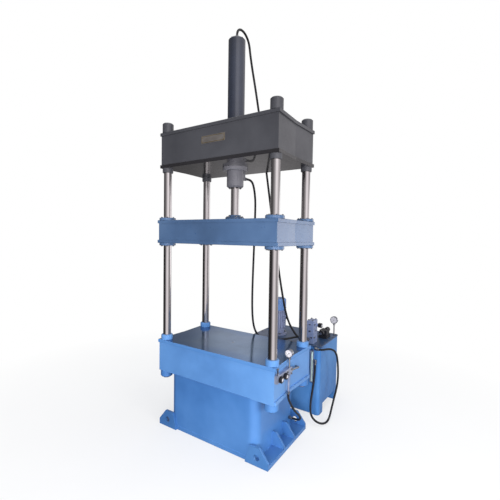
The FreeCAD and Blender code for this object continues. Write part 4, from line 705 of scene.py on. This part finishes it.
def coilDetails(s):
    form = bmesh.new()
    for x in (-s["screwX"], s["screwX"]):
        for y in (-s["screwY"], s["screwY"]):
            capScrew(form, (s["x"] + x, s["y"] + y, s["blockTop"]), (0, 0, 1), s["size"])
    finishPiece("solenoid_screws", form, metals["turnedSteel"])
    profile = [(0, 0), (0.013, 0), (0.013, 0.002), (0.0085, 0.0022), (0.008, 0.0005), (0, 0.0005)]
    form = bmesh.new()
    for side in (-1, 1):
        lathe(form, profile, (s["x"], s["y"] + side * s["nutEnd"], s["level"]), (0, side, 0), 6)
    finishPiece("coil_nut_caps", form, metals["polishedCase"])


coilDetails(coilSet)

valveSet = {
    "face": 0.566, "size": 0.008, "ys": (-0.148, -0.088), "zs": (0.600, 0.628),
    "pipeEnd": (0.556, -0.072, 0.612)}


def valveDetails(s):
    form = bmesh.new()
    for y in s["ys"]:
        for z in s["zs"]:
            capScrew(form, (s["face"], y, z), (1, 0, 0), s["size"])
    pipeNut = [(0, 0), (0.0125, 0), (0.0125, 0.009), (0.011, 0.0105), (0, 0.0105)]
    lathe(form, pipeNut, s["pipeEnd"], (0, 1, 0), 6)
    finishPiece("valve_screws", form, metals["turnedSteel"])


valveDetails(valveSet)

knobSet = {"cap": 0.5, "rise": 0.0022}  # the cap's share of the knob's width, and its height


# A near-white cap on each knob's face; its pale finish is a painted glint
def knobCap(body, s):
    low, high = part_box(body)
    centre = (high[0], (low[1] + high[1]) / 2, (low[2] + high[2]) / 2)
    reach = (high[1] - low[1]) / 2 * s["cap"]
    rise, dish = s["rise"], s["rise"] * 0.4
    profile = [(0, 0), (reach, 0), (reach, rise * 0.6), (reach * 0.82, rise), (reach * 0.3, rise)]
    profile += [(reach * 0.26, dish), (0, dish)]
    form = bmesh.new()
    lathe(form, profile, centre, (1, 0, 0), 28)
    finishPiece(body + "_cap", form, metals["satinNickelPaintedGlint"], body)


for body in ("pressure_knob", "speed_knob", "relief_knob"):
    knobCap(body, knobSet)

gaugeSets = {
    "side": {"x": 0.556, "y": -0.102, "z": 0.742, "size": 0.06, "face": dialWhite},
    "tank": {"x": 0.505, "y": 0.965, "z": 0.755, "size": 0.072, "face": dialGrey},
}
# front is how far the rim stands ahead of the case's centre; dial, marks and glass are depths behind it.
# The scale runs over sweep degrees, with a long tick in every five; inner and outer are shares of the dial.
dialSet = {
    "front": 0.014, "rim": 0.0043, "dial": 0.0088, "marks": 0.0079, "glass": 0.0032, "pivot": 0.0019,
    "thick": 0.0006, "ticks": 30, "sweep": 270, "longInner": 0.78, "shortInner": 0.84, "outer": 0.91,
    "longHalf": 0.0005, "shortHalf": 0.0003, "paneEdge": 0.0014, "paneThick": 0.0018}


def gaugeFace(name, s, d):
    front = s["y"] - d["front"]
    reach = s["size"] / 2 - d["rim"]
    pivot = d["pivot"]
    form = bmesh.new()
    disc = [(pivot, 0), (reach, 0), (reach, d["thick"]), (pivot, d["thick"])]
    lathe(form, disc, (s["x"], front + d["dial"], s["z"]), (0, -1, 0), 48)
    finishPiece(name + "_dial", form, s["face"])
    form = bmesh.new()
    for i in range(d["ticks"] + 1):
        turn = math.radians(d["sweep"] * (i / d["ticks"] - 0.5))
        kind = "long" if i % 5 == 0 else "short"
        inner, outer, half = reach * d[kind + "Inner"], reach * d["outer"], d[kind + "Half"]
        way = Vector((math.sin(turn), 0, math.cos(turn)))
        across = Vector((math.cos(turn), 0, -math.sin(turn)))
        centre = Vector((s["x"], front + d["marks"], s["z"]))
        corners = ((inner, -half), (inner, half), (outer, half), (outer, -half))
        spots = [centre + way * r + across * w for r, w in corners]
        form.faces.new([form.verts.new(p) for p in spots])
    finishPiece(name + "_dial_marks", form, markGrey)
    form = bmesh.new()
    edge = reach + 0.0002
    pane = [(0, 0), (edge, 0), (edge, d["paneEdge"]), (reach - 0.001, d["paneThick"]), (0, d["paneThick"])]
    lathe(form, pane, (s["x"], front + d["glass"], s["z"]), (0, -1, 0), 48)
    finishPiece(name + "_gauge_glass", form, dialGlass)


for name, s in gaugeSets.items():
    gaugeFace(name, s, dialSet)

# Raised rim and rivets of the bare nameplate
plateSet = {"line": 0.0032, "rise": 0.0007, "sink": 0.0005, "inset": 0.004, "rivet": 0.0028, "corner": 0.01}


def plateTrim(s):
    low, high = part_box("nameplate")
    y = low[1]
    x0, x1 = low[0] + s["inset"], high[0] - s["inset"]
    z0, z1 = low[2] + s["inset"], high[2] - s["inset"]
    w = s["line"]
    form = bmesh.new()
    bars = [((x0, z0), (x1, z0 + w)), ((x0, z1 - w), (x1, z1))]
    bars += [((x0, z0 + w), (x0 + w, z1 - w)), ((x1 - w, z0 + w), (x1, z1 - w))]
    for a, b in bars:
        block(form, (a[0], y - s["rise"], a[1]), (b[0], y + s["sink"], b[1]))
    finishPiece("nameplate_rim", form, metals["brushedBrass"])
    form = bmesh.new()
    r = s["rivet"]
    dome = [(r, 0), (r * 0.92, r * 0.35), (r * 0.6, r * 0.62), (0, r * 0.75)]
    for x in (x0 + s["corner"], x1 - s["corner"]):
        for z in (z0 + s["corner"], z1 - s["corner"]):
            lathe(form, dome, (x, y, z), (0, -1, 0), 16)
    finishPiece("nameplate_rivets", form, metals["brushedBrass"])


plateTrim(plateSet)

# In the table's middle hole, just below the face
plugSet = {"radius": 0.0116, "drop": 0.0006, "depth": 0.012, "edge": 0.0012, "socket": 0.005}


def tablePlug(s):
    r = s["radius"]
    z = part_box("table_plate")[1][2] - s["drop"]
    form = bmesh.new()
    profile = [(0, -s["depth"]), (r, -s["depth"]), (r, -s["edge"]), (r - 0.001, 0)]
    profile += [(r * 0.55, 0), (r * 0.5, -s["socket"]), (0, -s["socket"])]
    lathe(form, profile, (0, 0, z), (0, 0, 1), 32)
    finishPiece("table_plug", form, metals["polishedCase"])


tablePlug(plugSet)

# Oil level gauge: a case on the tank's front with a pale tube in it; the tube's pale tone is a painted
# highlight for the shine on the tank's front corner
levelSet = {
    "x": 0.462, "z0": 0.29, "z1": 0.565, "width": 0.03, "depth": 0.016, "tube": 0.0082, "border": 0.006,
    "recess": 0.007, "edge": 0.0015, "margin": 0.009, "nutOut": 0.002}


def levelGlass(s):
    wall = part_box("oil_tank")[0][1]
    x0, x1 = s["x"] - s["width"] / 2, s["x"] + s["width"] / 2
    y = wall - s["depth"]
    form = bmesh.new()
    block(form, (x0, y, s["z0"]), (x1, wall, s["z1"]))
    front = [f for f in form.faces if f.normal.y < -0.9]
    bmesh.ops.inset_region(form, faces=front, thickness=s["border"], depth=0)
    bmesh.ops.translate(form, vec=(0, s["recess"], 0), verts=list({v for f in front for v in f.verts}))
    near = 1e-5
    rim = [
        e for e in form.edges if all(abs(v.co.y - y) < near for v in e.verts)
        or all(abs(v.co.y - y) > near and abs(v.co.x - x0) < near for v in e.verts)]
    bmesh.ops.bevel(form, geom=rim, offset=s["edge"], segments=2, affect="EDGES")
    finishPiece("level_gauge_case", form, metals["zincPlate"])
    form = bmesh.new()
    span = s["z1"] - s["z0"] - 2 * s["margin"]
    tube = [(0, 0), (s["tube"], 0), (s["tube"], span), (0, span)]
    lathe(form, tube, (s["x"], y + s["tube"] - 0.001, s["z0"] + s["margin"]), (0, 0, 1), 24)
    finishPiece("level_gauge_tube", form, oilTubePaintedHighlight)
    form = bmesh.new()
    nut = [(0, 0), (0.011, 0), (0.011, 0.006), (0.0095, 0.0075), (0, 0.0075)]
    for z in (s["z0"] - s["nutOut"], s["z1"] + s["nutOut"]):
        lathe(form, nut, (s["x"], wall, z), (0, -1, 0), 6)
    finishPiece("level_gauge_nuts", form, metals["turnedSteel"])


levelGlass(levelSet)

# Bare plate that closes the space under the tank's front
skirtSet = {
    "x0": -0.118, "x1": 0.498, "z0": 0.006, "z1": 0.084, "thick": 0.003, "screw": 0.006, "screws": 5,
    "inset": 0.03, "screwLevel": 0.045, "behind": 0.001, "edge": 0.0008}


def tankSkirt(s):
    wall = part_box("oil_tank")[0][1] + s["behind"]
    form = bmesh.new()
    block(form, (s["x0"], wall, s["z0"]), (s["x1"], wall + s["thick"], s["z1"]))
    bmesh.ops.bevel(form, geom=form.edges[:], offset=s["edge"], segments=1, affect="EDGES")
    for i in range(s["screws"]):
        x = s["x0"] + s["inset"] + (s["x1"] - s["x0"] - 2 * s["inset"]) * i / (s["screws"] - 1)
        capScrew(form, (x, wall, s["screwLevel"]), (0, -1, 0), s["screw"])
    finishPiece("tank_skirt", form, paints["tankEnamel"])


tankSkirt(skirtSet)

# Bead radii, the base's corner radius, where the gussets stand, half their thickness, and their two seams:
# up the base's wall, and outwards along the foot
weldSet = {
    "base": 0.0045, "foot": 0.004, "corner": 0.07, "gussets": (-0.065, 0.095), "gussetHalf": 0.008,
    "seamWall": 0.001, "seamUp": (0.03, 0.128), "seamOut": (0.004, 0.095), "footTop": 0.0285}


def welds(s):
    low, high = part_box("base_shell")
    corner = s["corner"]
    x, y = high[0], high[1]
    arc = [math.radians(90 * i / 6) for i in range(7)]
    reach = [(x - corner + corner * math.cos(a), y - corner + corner * math.sin(a)) for a in arc]
    form = bmesh.new()
    for level in (low[2], high[2]):
        path = []
        for sx, sy, turned in ((1, -1, True), (1, 1, False), (-1, 1, True), (-1, -1, False)):
            spots = [(sx * across, sy * deep, level) for across, deep in reach]
            path += spots[::-1] if turned else spots
        path.append(path[0])
        bead(form, path, s["base"], level)
    finishPiece("base_welds", form, paints["baseEnamelPaintedShade"])
    form = bmesh.new()
    half = s["gussetHalf"]
    for side in (-1, 1):
        for place in s["gussets"]:
            for edge in (-half, half):
                at = place + edge
                wall = side * (x + s["seamWall"])
                bead(form, [(wall, at, z) for z in s["seamUp"]], s["foot"], at)
                bead(form, [(side * (x + out), at, s["footTop"]) for out in s["seamOut"]], s["foot"], edge)
    finishPiece("gusset_welds", form, paints["baseEnamelPaintedShade"])


welds(weldSet)
print("details added")


# Pale floor that keeps the shadow near the press and fades to white farther out. Metres.
floorSet = {
    "radius": 60, "drop": 0.001, "pale": "f8f8f8", "dark": "f4f4f4", "rough": 0.9, "shine": 0.1,
    "fadeStart": 1.0, "fadeEnd": 3.1}


def makeFloor(s):
    mesh = bpy.data.meshes.new("floor")
    form = bmesh.new()
    bmesh.ops.create_circle(form, cap_ends=True, segments=96, radius=s["radius"])
    form.to_mesh(mesh)
    form.free()
    floor = bpy.data.objects.new("floor", mesh)
    floor.location.z = -s["drop"]
    bpy.context.collection.objects.link(floor)
    material, tree, shader, place = newMaterial("pale_floor")
    colour = ramp(tree, noise(tree, place, 710, 3), [(0.3, linear(s["dark"])), (0.7, linear(s["pale"]))])
    tree.links.new(colour, shader.inputs["Base Color"])
    shader.inputs["Roughness"].default_value = s["rough"]
    shader.inputs["Specular IOR Level"].default_value = s["shine"]
    reach = addNode(tree, "ShaderNodeVectorMath", {0: place}, operation="LENGTH").outputs["Value"]
    share = 0.2  # a ramp holds places up to 1, so five metres of floor are fitted into it
    fade = [(s["fadeStart"] * share, grey(0.62)), (s["fadeEnd"] * share, grey(1))]
    far = ramp(tree, sums(tree, reach, share), fade)
    glow = addNode(tree, "ShaderNodeEmission", {"Color": grey(1), "Strength": 1.0})
    mixed = addNode(tree, "ShaderNodeMixShader", {0: far, 1: shader.outputs[0], 2: glow.outputs[0]})
    tree.links.new(mixed.outputs[0], tree.nodes["Material Output"].inputs["Surface"])
    mesh.materials.append(material)
    floor.visible_glossy = False
    floor.visible_diffuse = False


def areaLight(name, s):
    data = bpy.data.lights.new(name, "AREA")
    data.shape = "RECTANGLE"
    data.size, data.size_y = s["size"]
    data.energy = s["power"]
    data.color = s["tint"]
    lamp = bpy.data.objects.new(name, data)
    lamp.location = s["place"]
    way = Vector(s["place"]) - Vector(s["target"])
    lamp.rotation_euler = way.to_track_quat("Z", "Y").to_euler()
    lamp.visible_glossy = False
    bpy.context.collection.objects.link(lamp)


# Soft boxes, in metres and watts. Mirrors don't see them: what mirrors show is mirrorSet's.
lightSets = {
    "right": {
        "place": (4.0, -1.2, 1.3), "target": (0.4, 0, 1.3), "size": (1.6, 1.6), "power": 83,
        "tint": (1, 0.97, 0.95)},
    "front": {
        "place": (1.9, -3.6, 1.1), "target": (0, 0, 0.9), "size": (2.2, 1.6), "power": 145,
        "tint": (1, 0.97, 0.98)},
    "top": {"place": (0.3, 0.4, 5.6), "target": (0, 0, 1), "size": (3, 3), "power": 70, "tint": (1, 1, 1)},
}
# What polished metal and gloss paint mirror: brightness at shares of a turn round the room, from the left
# by the front, the right and the back. under is below the horizon, level just above it, over higher up, and
# side is a bright opening at the right of the back.
mirrorSet = {
    "level": [
        (0.0, 0.12), (0.06, 0.08), (0.15, 0.1), (0.2, 0.22), (0.27, 0.4), (0.32, 0.6), (0.36, 1.0),
        (0.41, 1.15), (0.46, 1.05), (0.52, 0.7), (0.58, 0.5), (0.66, 0.45), (0.74, 0.4), (0.84, 0.3),
        (0.92, 0.15), (1.0, 0.12)],
    "under": [
        (0.0, 0.03), (0.1, 0.03), (0.18, 0.05), (0.22, 0.14), (0.26, 0.42), (0.315, 0.85), (0.37, 1.05),
        (0.42, 0.85), (0.47, 0.62), (0.52, 0.35), (0.58, 0.3), (0.63, 0.45), (0.7, 0.45), (0.8, 0.14),
        (0.84, 0.3), (0.87, 0.12), (0.93, 0.05), (1.0, 0.03)],
    "over": [
        (0.0, 0.1), (0.16, 0.12), (0.3, 0.5), (0.34, 1.3), (0.42, 1.4), (0.48, 0.8), (0.6, 0.6), (0.7, 0.6),
        (0.79, 0.3), (0.818, 0.25), (0.83, 0.5), (0.843, 1.0), (0.856, 0.75), (0.87, 0.25), (0.9, 0.15),
        (1.0, 0.1)],
    "side": [(0.6, 0), (0.66, 1.1), (0.72, 1.1), (0.77, 0)],
    "sky": [(0.2, (0.2, 0.21, 0.23)), (0.5, (0.5, 0.52, 0.56)), (1.0, (0.62, 0.65, 0.7))],
    "skyStrength": 0.9,  # of the light on matt faces
    "tint": (1.0, 0.965, 0.985),
}


def makeWorld(s):
    world = bpy.data.worlds.new("studio")
    world.use_nodes = True
    tree = world.node_tree
    tree.nodes.clear()
    way = addNode(tree, "ShaderNodeTexCoord").outputs["Generated"]
    split = addNode(tree, "ShaderNodeSeparateXYZ", {"Vector": way})
    inputs = {0: split.outputs["Y"], 1: split.outputs["X"]}
    turn = addNode(tree, "ShaderNodeMath", inputs, operation="ARCTAN2").outputs[0]
    inputs = {"Value": turn, "From Min": -math.pi, "From Max": math.pi}
    spread = addNode(tree, "ShaderNodeMapRange", inputs).outputs[0]
    red, green, blue = s["tint"]
    level, under, over, side = (
        ramp(tree, spread, [(at, (v * red, v * green, v * blue)) for at, v in s[band]])
        for band in ("level", "under", "over", "side"))

    def rise(low, high):  # fades in between two heights, as sines of the angle above the horizon
        inputs = {"Value": split.outputs["Z"], "From Min": low, "From Max": high}
        return addNode(tree, "ShaderNodeMapRange", inputs, interpolation_type="SMOOTHSTEP").outputs[0]

    mirrored = mixColour(tree, rise(-0.06, 0.06), under, level)
    mirrored = mixColour(tree, rise(0.225, 0.255), mirrored, over)
    mirrored = mixColour(tree, rise(0.4, 0.9), mirrored, grey(0.8))
    near = sums(tree, rise(-0.2, -0.08), rise(0.18, 0.08))
    mirrored = mixColour(tree, near, mirrored, side, "ADD")
    sky = ramp(tree, rise(-1.0, 1.0), s["sky"])
    path = addNode(tree, "ShaderNodeLightPath")
    soft = addNode(tree, "ShaderNodeBackground", {"Color": sky, "Strength": s["skyStrength"]})
    gloss = addNode(tree, "ShaderNodeBackground", {"Color": mirrored, "Strength": 1.0})
    seen = addNode(tree, "ShaderNodeBackground", {"Color": grey(1), "Strength": 1.0})
    inputs = {0: path.outputs["Is Glossy Ray"], 1: soft.outputs[0], 2: gloss.outputs[0]}
    lit = addNode(tree, "ShaderNodeMixShader", inputs).outputs[0]
    inputs = {0: path.outputs["Is Camera Ray"], 1: lit, 2: seen.outputs[0]}
    shown = addNode(tree, "ShaderNodeMixShader", inputs).outputs[0]
    addNode(tree, "ShaderNodeOutputWorld", {"Surface": shown})
    bpy.context.scene.world = world


makeFloor(floorSet)
makeWorld(mirrorSet)
for name, s in lightSets.items():
    areaLight(name, s)
bpy.context.scene.view_settings.view_transform = "Standard"
bpy.context.scene.view_settings.look = "None"
print("stage set")
